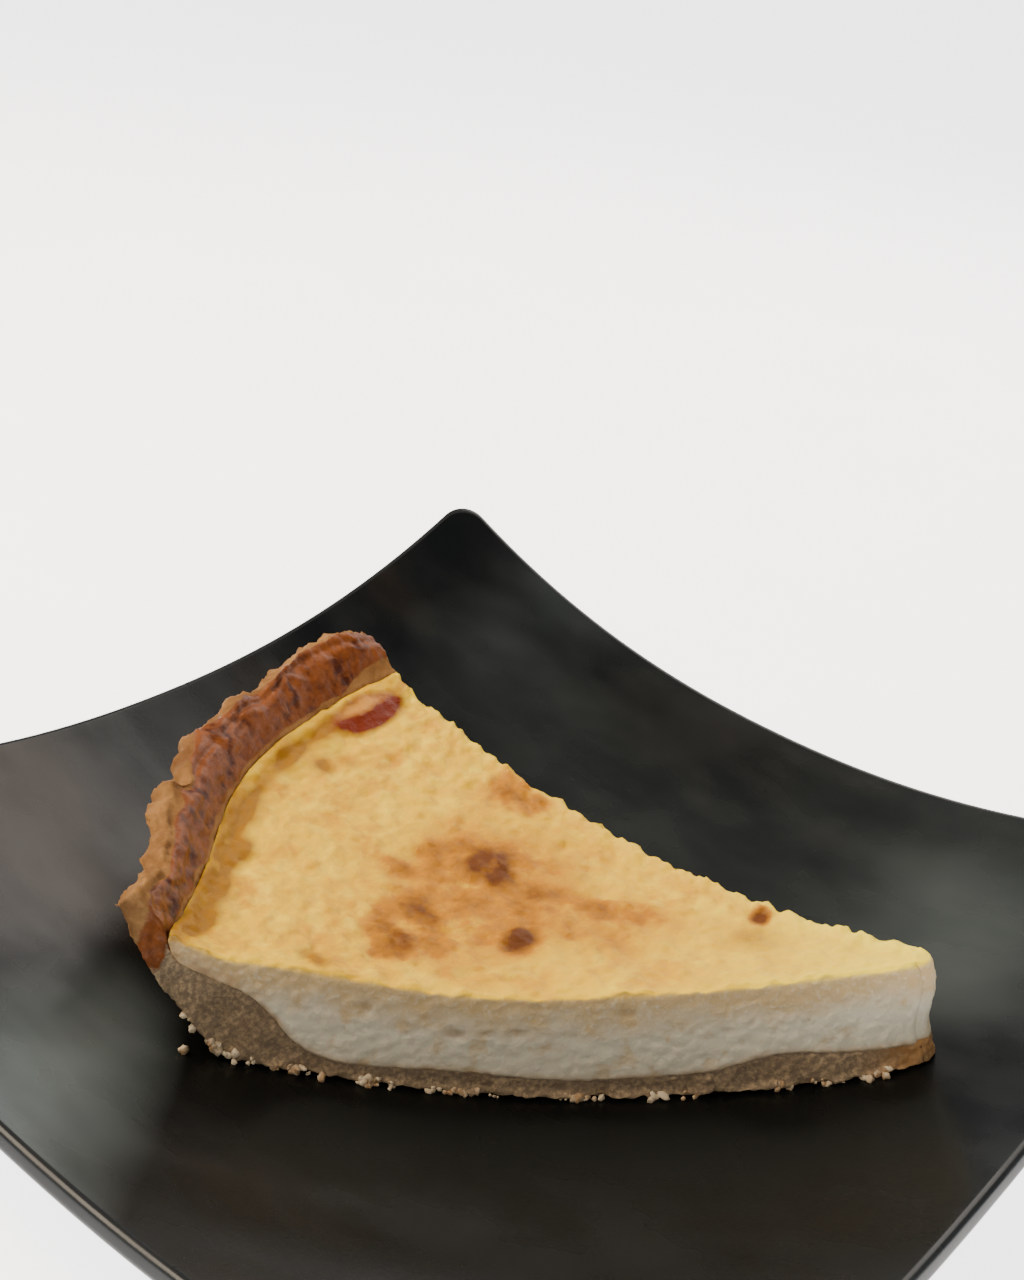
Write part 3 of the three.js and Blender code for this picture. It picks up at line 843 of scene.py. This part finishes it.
def custard_cut(tree, settings, patchy, fine):
    """The cut: warm under the skin and white below, with flecks of curd and browned pores, stained
    where it touches the pastry and darker in its holes as painted shade."""
    depth, stain_and_hole_shade = (add(tree, "Attribute", out="Fac", attribute_name=name) for name in ("depth", "stain_and_hole_shade"))
    uneven = add(tree, "Math", {0: patchy, 1: 9.0, 2: depth}, operation="MULTIPLY_ADD")
    lower = add(tree, "MapRange", {"Value": uneven, "From Min": 7.0, "From Max": 13.5}, clamp=True)
    pore = add(tree, "MapRange", {"Value": patchy, "From Min": 0.44, "From Max": 0.34, "To Max": 0.5})
    curd = add(tree, "MapRange", {"Value": fine, "From Min": 0.52, "From Max": 0.72, "To Max": 0.35})
    cut = settings.upper_cut
    layers = (
        (lower, settings.cut),
        (pore, settings.upper_cut),
        (curd, settings.curd),
        (stain_and_hole_shade, settings.stain_and_hole_shade),
    )
    for share, over in layers:
        cut = add(tree, "Mix", {0: share, 6: cut, 7: over}, data_type="RGBA")
    return cut


def baked_cheese_custard(settings):
    """Cheese custard set in the oven. The cut is white, moist and grainy, and lets light in a little; the
    skin is yellow, satin, and browned in patches where it rose."""
    scatter = {
        "Specular_IOR_Level": 0.3,
        "Subsurface_Weight": 0.12,
        "Subsurface_Radius": (1.0, 0.6, 0.3),
        "Subsurface_Scale": 1.6 * MM,
    }
    material, tree, shader = new_material("baked_cheese_custard", IOR=1.42, **scatter)
    place = add(tree, "TexCoord", out="Object")
    patchy, fine = (
        add(tree, "TexNoise", {"Vector": place, "Scale": 1 / size, "Detail": detail, "Roughness": rough})
        for size, detail, rough in ((4.2 * MM, 4.0, 0.55), (0.9 * MM, 3.0, 0.6))
    )
    skin, gloss = custard_skin(tree, settings, place, patchy, fine)
    cut = custard_cut(tree, settings, patchy, fine)
    on_top = add(tree, "Attribute", out="Fac", attribute_name="skin")
    colour = add(tree, "Mix", {0: on_top, 6: cut, 7: skin}, data_type="RGBA")
    rise = add(tree, "Math", {0: patchy, 1: 1.6, 2: fine}, operation="MULTIPLY_ADD")
    bump = add(tree, "Bump", {"Strength": 0.7, "Distance": 0.25 * MM, "Height": rise})
    gloss = add(tree, "MapRange", {"Value": on_top, "To Min": 0.7, "To Max": gloss})
    link_up(tree, shader, Base_Color=colour, Roughness=gloss, Normal=bump)
    return material


def dry_crumb(settings):
    """Crumbs of the same pastry that broke off: dry, pale and matt all over."""
    material, tree, shader = new_material("dry_crumb", IOR=1.45, Roughness=0.85)
    place = add(tree, "TexCoord", out="Object")
    each = add(tree, "TexNoise", {"Vector": place, "Scale": 1 / (4.5 * MM), "Detail": 1.0})
    fine = add(tree, "TexNoise", {"Vector": place, "Scale": 1 / (0.7 * MM), "Detail": 3.0})
    colour = add(tree, "ValToRGB", {0: each}, stops=((0.42, settings.colour), (0.62, settings.toasted)))
    floury = add(tree, "MapRange", {"Value": fine, "From Min": 0.5, "From Max": 0.7, "To Max": 0.6})
    colour = add(tree, "Mix", {0: floury, 6: colour, 7: settings.floury}, data_type="RGBA")
    bump = add(tree, "Bump", {"Strength": 0.6, "Distance": 0.15 * MM, "Height": fine})
    link_up(tree, shader, Base_Color=colour, Normal=bump)
    return material


def painted_floor(settings):
    """A plain matt white board, lit from below to stay pale, with the faint unevenness of its coat."""
    lit = {"Emission_Color": settings.floor, "Emission_Strength": settings.floor_glow}
    material, tree, shader = new_material("painted_floor", Roughness=0.9, **lit)
    place = add(tree, "TexCoord", out="Object")
    soft = add(tree, "TexNoise", {"Vector": place, "Scale": 1 / (60 * MM)})
    colour = add(tree, "ValToRGB", {0: soft}, stops=((0.3, settings.floor), (0.7, settings.floor_shade)))
    link_up(tree, shader, Base_Color=colour)
    return material


def square_outline(half_side, radius):
    """A square outline with round corners, counterclockwise."""
    straight = half_side - radius
    along = straight * (2 * np.arange(SIDE_STEPS) / SIDE_STEPS - 1)
    angle = np.arange(CORNER_STEPS) / CORNER_STEPS * math.pi / 2
    x = np.concatenate([np.full(SIDE_STEPS, float(half_side)), straight + radius * np.cos(angle)])
    y = np.concatenate([along, straight + radius * np.sin(angle)])
    return np.concatenate([x, -y, -x, y]), np.concatenate([y, x, -y, -x])


def plate_rings():
    """Rings of points from the middle of the upper face, over the edge and foot, to the middle below."""
    flat_half = PLATE_HALF - EDGE_ROUND
    rings = []
    for share in np.linspace(0, 1, FACE_RINGS + 1)[1:]:
        corner = share * (PLATE_CORNER + SOFTER_CORNER * (1 - share))
        rings.append((flat_half * share, corner, 0, 0))
    above = [(degrees, -EDGE_ROUND) for degrees in range(90 - EDGE_STEP, -1, -EDGE_STEP)]
    below = [(degrees, EDGE_ROUND - PLATE_THICKNESS) for degrees in range(0, -91, -EDGE_STEP)]
    for degrees, middle in above + below:
        angle = math.radians(degrees)
        out = flat_half + EDGE_ROUND * math.cos(angle)
        rings.append((out, PLATE_CORNER, EDGE_ROUND * math.sin(angle) + middle, 1))
    for share in np.linspace(0, 1, UNDER_RINGS + 1)[1:]:
        out = flat_half + (FOOT_HALF + FOOT_TAPER - flat_half) * share
        corner = PLATE_CORNER + (FOOT_CORNER + FOOT_TAPER - PLATE_CORNER) * share
        rings.append((out, corner, -PLATE_THICKNESS, 0))
    return rings


def foot_rings():
    """The foot's flat band on the table, with its rounded edges, as half side, corner and height."""
    inside = FOOT_HALF - FOOT_WIDTH
    outer = [(FOOT_HALF + out, FOOT_CORNER + out, z) for out, z in FOOT_ROUNDING]
    inner = [(inside - out, FOOT_CORNER - FOOT_WIDTH - out, z) for out, z in FOOT_ROUNDING]
    return outer + inner[::-1]


def plate_points():
    """Points of the plate ring by ring, and how much each belongs to the edge."""
    rings = []
    edges = []
    for half_side, corner, height, edge in plate_rings():
        rings.append(on_dish(*square_outline(half_side, corner), height))
        edges.append(edge)
    for half_side, corner, z in foot_rings():
        x, y = square_outline(half_side, corner)
        rings.append(np.stack([x, y, np.full_like(x, z)], -1))
        edges.append(0)
    for share in np.linspace(1, 0, RECESS_RINGS + 1)[:-1]:
        half_side = (FOOT_HALF - FOOT_WIDTH - FOOT_TAPER) * share
        corner = (FOOT_CORNER - FOOT_WIDTH - FOOT_TAPER) * share
        rings.append(on_dish(*square_outline(half_side, corner), -PLATE_THICKNESS))
        edges.append(0)
    return rings, edges


def glaze_zones(x, y):
    """How much painted reflection lies on the glaze at each place, by the left side and faintly to the
    right, and how thin the glaze is, with painted shade in front and painted reflection of the crust at the
    left corner.
    """
    # The haze is painted reflection of the room's light: by the left side, to the right, in a spot and at
    # the far corner.
    left = smooth_step(y - 12 - 0.8 * (x + 57), -4, 26) * smooth_step(-x, 30, 62)
    painted_reflection = left * (1 - smooth_step(y, 18, 56))
    painted_reflection = painted_reflection + 0.15 * smooth_step(x, 0, 50) * (1 - smooth_step(y, 60, 88))
    at_x, at_y, width, strength = REFLECTION_SPOT
    painted_reflection = painted_reflection + strength * bell(np.hypot(x - at_x, y - at_y), width) + 0.07 * smooth_step(x + y, 90, 150)
    # Beside the glaze's own clouds, the thin share stays low in front as painted shade and rises toward the
    # left, most at the left corner, as painted reflection of the crust.
    thin = 0.7 + 0.25 * smooth_step(y - 0.7 * x, 0, 50)
    return painted_reflection, thin + 0.45 * smooth_step(-x, 5, 50) * smooth_step(y, 40, 65)


def plate_mesh():
    """The plate as one closed mesh of rings."""
    rings, edges = plate_points()
    count = len(rings[0])
    ring_number = np.arange(len(rings) - 1)[:, None] * count
    k = np.arange(count)
    after = (k + 1) % count
    quads = [ring_number + k, ring_number + k + count, ring_number + after + count, ring_number + after]
    faces = np.stack(quads, -1).reshape(-1, 4).tolist()
    last = (len(rings) - 1) * count
    points = np.concatenate([*rings, [[0, 0, MIDDLE_HEIGHT]], [[0, 0, MIDDLE_HEIGHT - PLATE_THICKNESS]]])
    top = len(points) - 2
    faces += [[top, a, b] for a, b in zip(k.tolist(), after.tolist())]
    faces += [[top + 1, last + b, last + a] for a, b in zip(k.tolist(), after.tolist())]
    painted_reflection, thin = glaze_zones(points[:, 0], points[:, 1])
    edge = np.concatenate([np.repeat(edges, count), [0, 0]])
    return points, np.array(faces, dtype=object), {"edge": edge, "painted_reflection": painted_reflection, "thin": thin}


def move_in(along, across, near_by, far_by):
    """Moves places in from the near cut and from the far one."""
    sine, cosine = math.sin(HALF_WEDGE), math.cos(HALF_WEDGE)
    return along + (near_by + far_by) * sine, across + (far_by - near_by) * cosine


def near_cut_holes(settings, length, height):
    """How deep the small holes go into the near cut at each place on it."""
    chance = np.random.default_rng(HOLE_SEED)
    holes = list(CUT_HOLES)
    for _ in range(settings.hole_count):
        size = settings.hole_size / MM * chance.uniform(0.25, 1) ** 2
        place = (chance.uniform(4, 124), 5 + 13.5 * chance.uniform(0, 1) ** 0.8)
        holes.append((*place, size * chance.uniform(1, 1.8), size, size * 0.9))
    depth = np.zeros_like(length)
    for at_length, at_height, long, high, deep in holes:
        distance = np.hypot((length - at_length) / long, (height - at_height) / high)
        depth = np.maximum(depth, deep * np.exp(-(distance**4)))
    return depth


def tip_lean(length, height):
    """How far the tip's foot is drawn in and its upper edge stands out."""
    rise = smooth_step(height, *TIP_LEAN_HEIGHTS)
    return bell(length, TIP_LEAN_LENGTH) * (TIP_DRAWN_IN - (TIP_DRAWN_IN + TIP_STANDS_OUT) * rise)


def custard_mesh(settings):
    """The filling, bent over the dish, with its skin, blisters, holes and crumbly far side."""
    (u, v, w), quads = block_shell(*FILLING_CELLS)
    side = denser_at_ends(v, 0.45)
    edge_inset = FILLING_INSET - NEAR_END_SPREAD * bell(side, NEAR_END_SIDE)
    length = denser_at_ends(u, 0.35) * ray_length(side, edge_inset)
    along, across = on_ray(side, length)
    inset = inset_of(along, across)
    low = GAP - OVERLAP + pastry_top(along, across, inset)
    near, far = from_cuts(along, across)
    lift, at_length, long, wide = SWOLLEN_EDGE
    swollen = lift * bell(length - at_length, long) * bell(near, wide)
    high = np.maximum(GAP + custard_top(along, across) + swollen, low + 0.1)
    height = low + (high - low) * w
    flat = np.stack([along, across, height], -1)
    on_near = v == 0
    on_far = v == 1
    on_top = w == 1

    # The far edge broke into lumps, and the skin stands up in a lip against the pastry.
    tooth = lumps(np.stack([along, 0.4 * across, 0.2 * height], -1), *FAR_TEETH)
    broken = bell(far, 2.2) * (0.5 + 1.1 * tooth + 0.9 * lumps(flat, *FAR_CRUMBLE))
    broken = broken + 0.8 * bell(far, 5) * (grains(flat, *FAR_GRAINS) - 0.4) * smooth_step(length, 8, 20)
    lip = (0.25 + 0.3 * lumps(flat, *LIP_LUMPS)) * bell(inset - edge_inset - 1, 0.9)
    lip = lip - (0.3 + 0.3 * lumps(flat, *LIP_GROOVE)) * bell(inset - edge_inset - 3.2, 1.3)
    browned = marked(along, across, BROWNED)
    ripples = (0.6 + 0.3 * browned) * lumps(flat, *RIPPLES) + 0.42 * lumps(flat, *FINE_RIPPLES)
    curdled = 0.75 * grains(flat, *CURDS_ON_TOP) + 0.4 * grains(flat, *FINE_CURDS_ON_TOP) - 0.6
    smooth_skin = 1 - 0.8 * np.clip(1.6 * turned_bell(along, across, CARAMEL), 0, 1)
    height = height + w * (broken + lip + (ripples + curdled) * smooth_skin)

    fade = smooth_step(length, 0, 6)
    curds = 0.08 * lumps(flat, *CUT_WAVES) + 0.07 * lumps(flat, *CUT_LUMPS)
    curds = curds + 0.34 * grains(flat, *CUT_CURDS)
    out = np.where(on_far, 0.3 * tooth + 1.3 * lumps(flat, *FAR_FACE), curds) * fade
    holes = np.where(on_near, near_cut_holes(settings, length, height), 0)
    drop = high - height
    drop_below = np.maximum(drop, 0)
    near_in, near_down = round_edge(near, drop_below, NEAR_EDGE)
    far_in, far_down = round_edge(far, drop_below, FAR_EDGE)
    tip_in, tip_down = round_edge(length, drop_below, TIP_EDGE)
    corner_in, corner_side = round_edge(near, length, TIP_CORNER)
    near_by = near_in + corner_in + np.where(on_near, holes * (1 + lumps(flat, *HOLE_LUMPS)) - out, 0)
    far_by = far_in + np.where(on_far, -out, 0)
    new_along, new_across = move_in(along, across, near_by, far_by)
    bulge = np.where(u == 0, TIP_BULGE * 4 * side * (1 - side), 0)
    new_along = new_along + tip_in + corner_side - bulge + tip_lean(length, height)
    height = height - near_down - far_down - tip_down

    points = in_slice(new_along, new_across, height)
    normals = normals_of(points, quads)
    rough = np.where(on_top, 0.06, 0.13)[:, None]
    points = points + normals * rough * lumps(points, *MATT_SKIN)[:, None]

    grain = lumps(flat, *BROWN_CLOUDS)
    warped_along = along + WARP * lumps(flat, *WARP_ALONG)
    warped_across = across + WARP * lumps(flat, *WARP_ACROSS)
    moat = bell(inset - edge_inset - 3.4, 1.5) * (0.7 + 0.7 * grain)
    soak = 0.9 + 1.5 * (1 - smooth_step(inset, 14, 32))
    golden_lip = 0.6 * bell(inset - edge_inset - 0.8, 1.3)
    golden_lip = golden_lip * smooth_step(direction_of(along, across), 108, 116)
    at_along, at_across, long, wide, turn = CARAMEL
    # The caramel blister's upper side, shifted out from its middle, takes a painted highlight.
    highlit_side = (at_along + 2, at_across - 0.8, long * 0.9, wide * 0.6, turn)
    blister = turned_bell(along, across, (at_along, at_across, long, wide * 1.15, turn))
    stained = bell(height - low, soak) * (0.6 + 0.5 * lumps(flat, *STAIN_LUMPS))
    attributes = {
        "skin": np.where(on_top, 1.0, 0.7 * bell(drop, 0.6)),
        "depth": drop_below,
        "brown": marked(warped_along, warped_across, BROWNED) * (1 + 0.25 * grain)
        + marked(along, across, SCORCHED),
        "amber": np.clip(marked(warped_along, warped_across, AMBER, 1.6) + moat + golden_lip, 0, 1.3),
        "caramel": blister * (1 + 0.15 * grain),
        "painted_highlight": turned_bell(along, across, highlit_side) + 0.6 * browned * smooth_step(grain, 0.25, 0.5),
        # Painted highlight along the far and near top edges, and painted light toward the tip.
        "pale": np.clip(bell(length, 30) * 0.75 + 0.45 * bell(far, 2.6) + 0.2 * bell(near, 2.2), 0, 1),
        # Stained by the pastry near the base, and darker in the holes as painted shade.
        "stain_and_hole_shade": np.clip(stained + 0.8 * holes, 0, 1),
    }
    return points, quads, attributes


def pastry_mesh(settings):
    """The base and rim in one, sandy outside and at the cuts, wrinkled and sticky on the crest."""
    (u, v, w), quads = block_shell(*PASTRY_CELLS)
    side = denser_at_ends(v, 0.35)
    reach = np.where(u < 0.6, u / 0.6 * 0.66, 0.66 + (u - 0.6) / 0.4 * 0.34)
    length = reach * ray_length(side, PASTRY_OUTER_INSET)
    along, across = on_ray(side, length)
    inset = inset_of(along, across)
    low = GAP + profile(PASTRY_OUTSIDE, inset)
    high = GAP + pastry_top(along, across, inset)
    low = np.minimum(low, high - 0.8)
    height = low + (high - low) * w
    push, lift = crest_push(along, across, inset)
    near, far = from_cuts(along, across)
    depth, far_width, at_inset, wide = WORN_END
    worn = depth * bell(far, far_width) * bell(inset - at_inset, wide) * w
    height = height + lift - worn
    out_along = (along - RIM_ALONG) / np.maximum(RIM_RADIUS - inset, 1)
    out_across = (across - RIM_ACROSS) / np.maximum(RIM_RADIUS - inset, 1)
    flat = np.stack([along, across, height], -1)
    ragged = 1.7 * lumps(flat, *RAGGED) + 0.5 * lumps(flat, *FINE_RAGGED)
    ragged = bell(inset - PASTRY_OUTER_INSET, 2.4) * ragged
    groove = -0.55 * bell(inset - 2.9, 0.8) + 0.45 * bell(inset - 5.6, 1.8)
    height = height + (w == 1) * groove * (1 + 0.8 * lumps(flat, *GROOVE_LUMPS))
    direction = direction_of(along, across)
    chipped = sum(out * bell(direction - at, width) for at, width, out in EDGE_LUMPS)
    chipped = chipped * bell(inset - PASTRY_OUTER_INSET, 3)
    new_along = along + out_along * (push + ragged + chipped)
    new_across = across + out_across * (push + ragged + chipped)

    fade = smooth_step(length, 0, 6)
    on_near = v == 0
    on_far = v == 1
    crumbly = bell(height - low, 1.3) * (0.4 + 1.3 * lumps(flat, *CRUMBLY_FOOT))
    rugged = 0.55 * lumps(flat, *CUT_RUGGED) * fade
    near_by = np.where(on_near, -rugged - crumbly, 0)
    far_by = np.where(on_far, -2 * rugged, 0)
    near_in, near_down = round_edge(near, np.abs(high + lift - height), NEAR_EDGE)
    low_in, low_up = round_edge(near, np.abs(height - lift - low), BASE_EDGE)
    new_along, new_across = move_in(new_along, new_across, near_by + near_in + low_in, far_by)
    bulge = np.where(u == 0, TIP_BULGE * 4 * side * (1 - side), 0)
    new_along = new_along - bulge + tip_lean(length, height)
    points = in_slice(new_along, new_across, height - near_down + low_up)

    # Sandy grains everywhere but on the crest's inner side, which short wrinkles cross instead.
    wander = inset + 0.9 * lumps(flat, *CREST_WANDER)
    outer_strip = 0.7 + 2.6 * smooth_step(direction, 112, 122) - 1.1 * bell(direction - 110, 3)
    inner_edge = 9.2 - 2.4 * smooth_step(side, 0.85, 1)
    on_crest = smooth_step(wander - outer_strip, -0.5, 0.8) * (w == 1)
    on_crest = on_crest * (1 - smooth_step(wander - inner_edge, -0.6, 1.2))
    normals = normals_of(points, quads)
    around = np.arctan2(across - RIM_ACROSS, along - RIM_ALONG) * RIM_RADIUS
    spacing = settings.wrinkle_spacing / MM
    bend = 3 * lumps(flat, *WRINKLE_BEND)
    wrinkles = np.stack([(around + bend) / spacing * 1.6, (inset + bend) / 3.2, np.zeros_like(inset)], -1)
    wrinkle = np.abs(lumps(wrinkles, *WRINKLES))
    grain = settings.grain / MM
    sandy = grains(points, grain, GRAIN_SEED) * 1.6 - 0.9 + 0.8 * lumps(points, *SANDY_LUMPS)
    sandy = settings.grain_depth / MM * sandy
    sticky = 0.26 * (0.35 - wrinkle) + 0.5 * lumps(points, *STICKY_LUMPS)
    sticky = sticky + 0.4 * lumps(points, *FINE_STICKY)
    outside = (w == 1) * (1 - smooth_step(inset, 1, 4))
    sandy = sandy * (1 + 0.8 * outside) + outside * 0.5 * lumps(points, *OUTSIDE_LUMPS)
    points = points + normals * (sandy * (1 - on_crest) + sticky * on_crest)[:, None]

    on_cut = np.maximum(np.maximum(on_near, on_far), u == 0).astype(float)
    # The crest's dark colour runs down the near cut's upper end.
    crest_colour_at_near_end = on_near * smooth_step(height, 10, 14) * smooth_step(inset, 2.6, 4.8) * 0.9
    crest_colour_at_near_end = crest_colour_at_near_end * (1 - smooth_step(inset, 7.5, 9.5))
    baked_end = 1 - 0.9 * smooth_step(height, 13, 17) * (1 - smooth_step(inset, 3, 7))
    attributes = {
        "crest": np.maximum(on_crest, crest_colour_at_near_end),
        # Painted shade in the valleys of the crest's wrinkles.
        "valley_shade": on_crest * smooth_step(wrinkle - 0.5 * lumps(points, *VALLEY_LUMPS), 0.1, 0.9),
        "cut": np.maximum(on_cut * baked_end, (w == 0) * smooth_step(inset, 16, 30) * 0.8),
        "toast": np.clip(bell(length - 2, 6) + (w == 1) * bell(inset - 10.2, 1.6), 0, 1),
    }
    return points, quads, attributes


def crumb_shape(chance, radius):
    """Points of one broken crumb about its own middle."""
    ball = bmesh.new()
    bmesh.ops.create_icosphere(ball, subdivisions=2, radius=1)
    points = np.array([vertex.co for vertex in ball.verts])
    faces = np.array([[vertex.index for vertex in face.verts] for face in ball.faces])
    ball.free()
    squash = chance.uniform(0.55, 1.25, 3)
    lumpy = 1 + 0.75 * lumps(points + chance.uniform(0, 40, 3), *CRUMB_LUMPS)
    return points * lumpy[:, None] * squash * radius, faces


def crumb_places(settings, chance):
    """Places and sizes of the crumbs, which hang together in clusters under the cuts' pastry."""
    for number in range(settings.count):
        cluster, first = divmod(number, CRUMBS_IN_CLUSTER)
        if first == 0:
            large = cluster < len(CRUMB_CLUSTERS)
            side = 0.0 if large else chance.choice([0.0, 1.0])
            middle = CRUMB_CLUSTERS[cluster] if large else chance.uniform(*CRUMB_REACH)
            size = chance.uniform(0.7, 1) if large else chance.uniform(0, 0.6)
        share = size * chance.uniform(0.3, 1)
        radius = (settings.smallest + (settings.largest - settings.smallest) * share) / MM
        length = max(middle + chance.normal(0, CRUMB_SPREAD), 0.5)
        away = chance.exponential(0.12)
        away += LOOSE_CRUMB_AWAY if chance.uniform() < LOOSE_CRUMB_SHARE else 0
        along, across = on_ray(side, length)
        inset = float(inset_of(along, across))
        floor = GAP + float(profile(PASTRY_OUTSIDE, inset))
        turn = HALF_WEDGE * (1 - 2 * side)
        direction = 1 if side < 0.5 else -1
        along -= direction * math.sin(turn) * (away + 0.1)
        across += direction * math.cos(turn) * (away + 0.1)
        rest = radius * 0.55
        height = rest if away > LOOSE_CRUMB_AWAY else floor + 1.4 * chance.uniform(0, 1) ** 2 - 0.2
        yield along, across, max(height, rest), radius


def crumb_mesh(settings):
    chance = np.random.default_rng(CRUMB_SEED)
    points = []
    faces = []
    count = 0
    for along, across, height, radius in crumb_places(settings, chance):
        shape, shape_faces = crumb_shape(chance, radius)
        middle = in_slice(np.array([along]), np.array([across]), np.array([height]))
        points.append(shape + middle)
        faces.append(shape_faces + count)
        count += len(shape)
    return np.concatenate(points), np.concatenate(faces)


class AddPlate(bpy.types.Operator):
    """Build the dished black plate"""

    bl_idname = "cheesecake.add_plate"
    bl_label = "Plate"

    def execute(self, context):
        settings = context.scene.cheesecake_plate
        points, faces, attributes = plate_mesh()
        plate = make_piece("stoneware_plate", points, faces, black_glazed_stoneware(settings), attributes)
        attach(plate, "root")
        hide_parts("plate")
        return {"FINISHED"}


class AddPastry(bpy.types.Operator):
    """Build the pastry base and rim"""

    bl_idname = "cheesecake.add_pastry"
    bl_label = "Pastry"

    def execute(self, context):
        settings = context.scene.cheesecake_pastry
        points, faces, attributes = pastry_mesh(settings)
        pastry = make_piece("shortcrust", points, faces, baked_shortcrust(settings), attributes)
        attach(pastry, "root")
        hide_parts("pastry_crust")
        return {"FINISHED"}


class AddFilling(bpy.types.Operator):
    """Build the baked custard filling"""

    bl_idname = "cheesecake.add_filling"
    bl_label = "Filling"

    def execute(self, context):
        settings = context.scene.cheesecake_custard
        points, faces, attributes = custard_mesh(settings)
        filling = make_piece("custard_filling", points, faces, baked_cheese_custard(settings), attributes)
        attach(filling, "root")
        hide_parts("cheese_filling")
        return {"FINISHED"}


class AddCrumbs(bpy.types.Operator):
    """Scatter pastry crumbs along the cuts"""

    bl_idname = "cheesecake.add_crumbs"
    bl_label = "Crumbs"

    def execute(self, context):
        settings = context.scene.cheesecake_crumbs
        points, faces = crumb_mesh(settings)
        crumbs = make_piece("pastry_crumbs", points, faces, dry_crumb(settings))
        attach(crumbs, "root")
        return {"FINISHED"}


def add_floor(settings):
    """A square floor round the plate."""
    floor_mesh = bpy.data.meshes.new("floor")
    corners = [(FLOOR_HALF * x, FLOOR_HALF * y, 0) for x, y in ((-1, -1), (1, -1), (1, 1), (-1, 1))]
    floor_mesh.from_pydata(corners, [], [(0, 1, 2, 3)])
    floor_mesh.materials.append(painted_floor(settings))
    floor = bpy.data.objects.new("floor", floor_mesh)
    bpy.context.scene.collection.objects.link(floor)


def add_softbox(name, direction, distance, size, power, colour):
    """A soft light that shines on the plate, from a direction in degrees from +X and above the table."""
    turn, rise = (math.radians(degrees) for degrees in direction)
    flat = math.cos(rise)
    place = Vector((math.cos(turn) * flat, math.sin(turn) * flat, math.sin(rise))) * distance
    light = bpy.data.lights.new(name, "AREA")
    light.size = size
    light.energy = power
    light.color = linear(colour)[:3]
    lamp = bpy.data.objects.new(name, light)
    lamp.location = place
    lamp.rotation_euler = (-place).to_track_quat("-Z", "Y").to_euler()
    bpy.context.scene.collection.objects.link(lamp)


def add_room(settings):
    """A dim room: pale near the horizon and dark overhead, so that the plate stays dark."""
    world = bpy.data.worlds.new("room")
    world.use_nodes = True
    tree = world.node_tree
    background = next(n for n in tree.nodes if n.type == "BACKGROUND")
    upwards = add(tree, "SeparateXYZ", {0: add(tree, "TexCoord", out="Generated")}, out="Z")
    fade = {
        "Value": upwards,
        "From Min": 0.03,
        "From Max": 0.24,
        "To Min": settings.horizon,
        "To Max": settings.overhead,
    }
    glow = add(tree, "MapRange", fade, interpolation_type="SMOOTHSTEP")
    background.inputs["Color"].default_value = linear("eff3f6")
    tree.links.new(glow, background.inputs["Strength"])
    bpy.context.scene.world = world


def add_camera(settings):
    """The camera that sees the plate as the picture does, from its angles about the picture's middle."""
    flat = math.cos(settings.elevation)
    turn = settings.azimuth
    back = Vector((math.sin(turn) * flat, -math.cos(turn) * flat, math.sin(settings.elevation)))
    level = Vector((0, 0, 1)).cross(back).normalized()
    upright = back.cross(level)
    right = level * math.cos(settings.roll) + upright * math.sin(settings.roll)
    up = upright * math.cos(settings.roll) - level * math.sin(settings.roll)
    aim = Vector((*AIM, MIDDLE_HEIGHT)) * MM
    data = bpy.data.cameras.new("camera")
    data.lens = settings.lens
    data.sensor_width = SENSOR_WIDTH
    data.clip_start = 0.01
    camera = bpy.data.objects.new("camera", data)
    place = Matrix((right, up, back)).transposed().to_4x4()
    place.translation = aim + back * settings.distance
    camera.matrix_world = place
    bpy.context.scene.collection.objects.link(camera)
    bpy.context.scene.camera = camera


class AddStage(bpy.types.Operator):
    """Set the floor, the lights and the camera"""

    bl_idname = "cheesecake.add_stage"
    bl_label = "Stage"

    def execute(self, context):
        settings = context.scene.cheesecake_stage
        add_floor(settings)
        add_room(settings)
        add_softbox("key_light", (118, 52), 0.9, 0.55, settings.key_power, "ffecd2")
        add_softbox("window_light", (13, 38), 0.8, 0.5, settings.window_power, "fbf4ec")
        add_softbox("fill_light", (216, 26), 1.0, 0.6, settings.fill_power, "fff8ee")
        add_camera(settings)
        return {"FINISHED"}


OPERATORS = (AddPlate, AddPastry, AddFilling, AddCrumbs, AddStage)
SETTINGS = {
    "cheesecake_plate": PlateSettings,
    "cheesecake_pastry": PastrySettings,
    "cheesecake_custard": CustardSettings,
    "cheesecake_crumbs": CrumbSettings,
    "cheesecake_stage": StageSettings,
}


class CheesecakePanel(bpy.types.Panel):
    """The pieces of the slice and its plate"""

    bl_idname = "VIEW3D_PT_cheesecake"
    bl_label = "Cheesecake"
    bl_space_type = "VIEW_3D"
    bl_region_type = "UI"
    bl_category = "Cheesecake"

    def draw(self, context):
        for operator, name in zip(OPERATORS, SETTINGS):
            box = self.layout.box()
            box.operator(operator.bl_idname)
            settings = getattr(context.scene, name)
            for key in settings.bl_rna.properties.keys():
                if key not in ("rna_type", "name"):
                    box.prop(settings, key)


def register():
    for kind in (*SETTINGS.values(), *OPERATORS, CheesecakePanel):
        bpy.utils.register_class(kind)
    for name, kind in SETTINGS.items():
        setattr(bpy.types.Scene, name, bpy.props.PointerProperty(type=kind))


def unregister():
    for name in SETTINGS:
        delattr(bpy.types.Scene, name)
    for kind in (CheesecakePanel, *reversed(OPERATORS), *SETTINGS.values()):
        bpy.utils.unregister_class(kind)


def main():
    register()
    for operator in OPERATORS:
        group, name = operator.bl_idname.split(".")
        getattr(getattr(bpy.ops, group), name)()


if __name__ == "__main__":
    main()
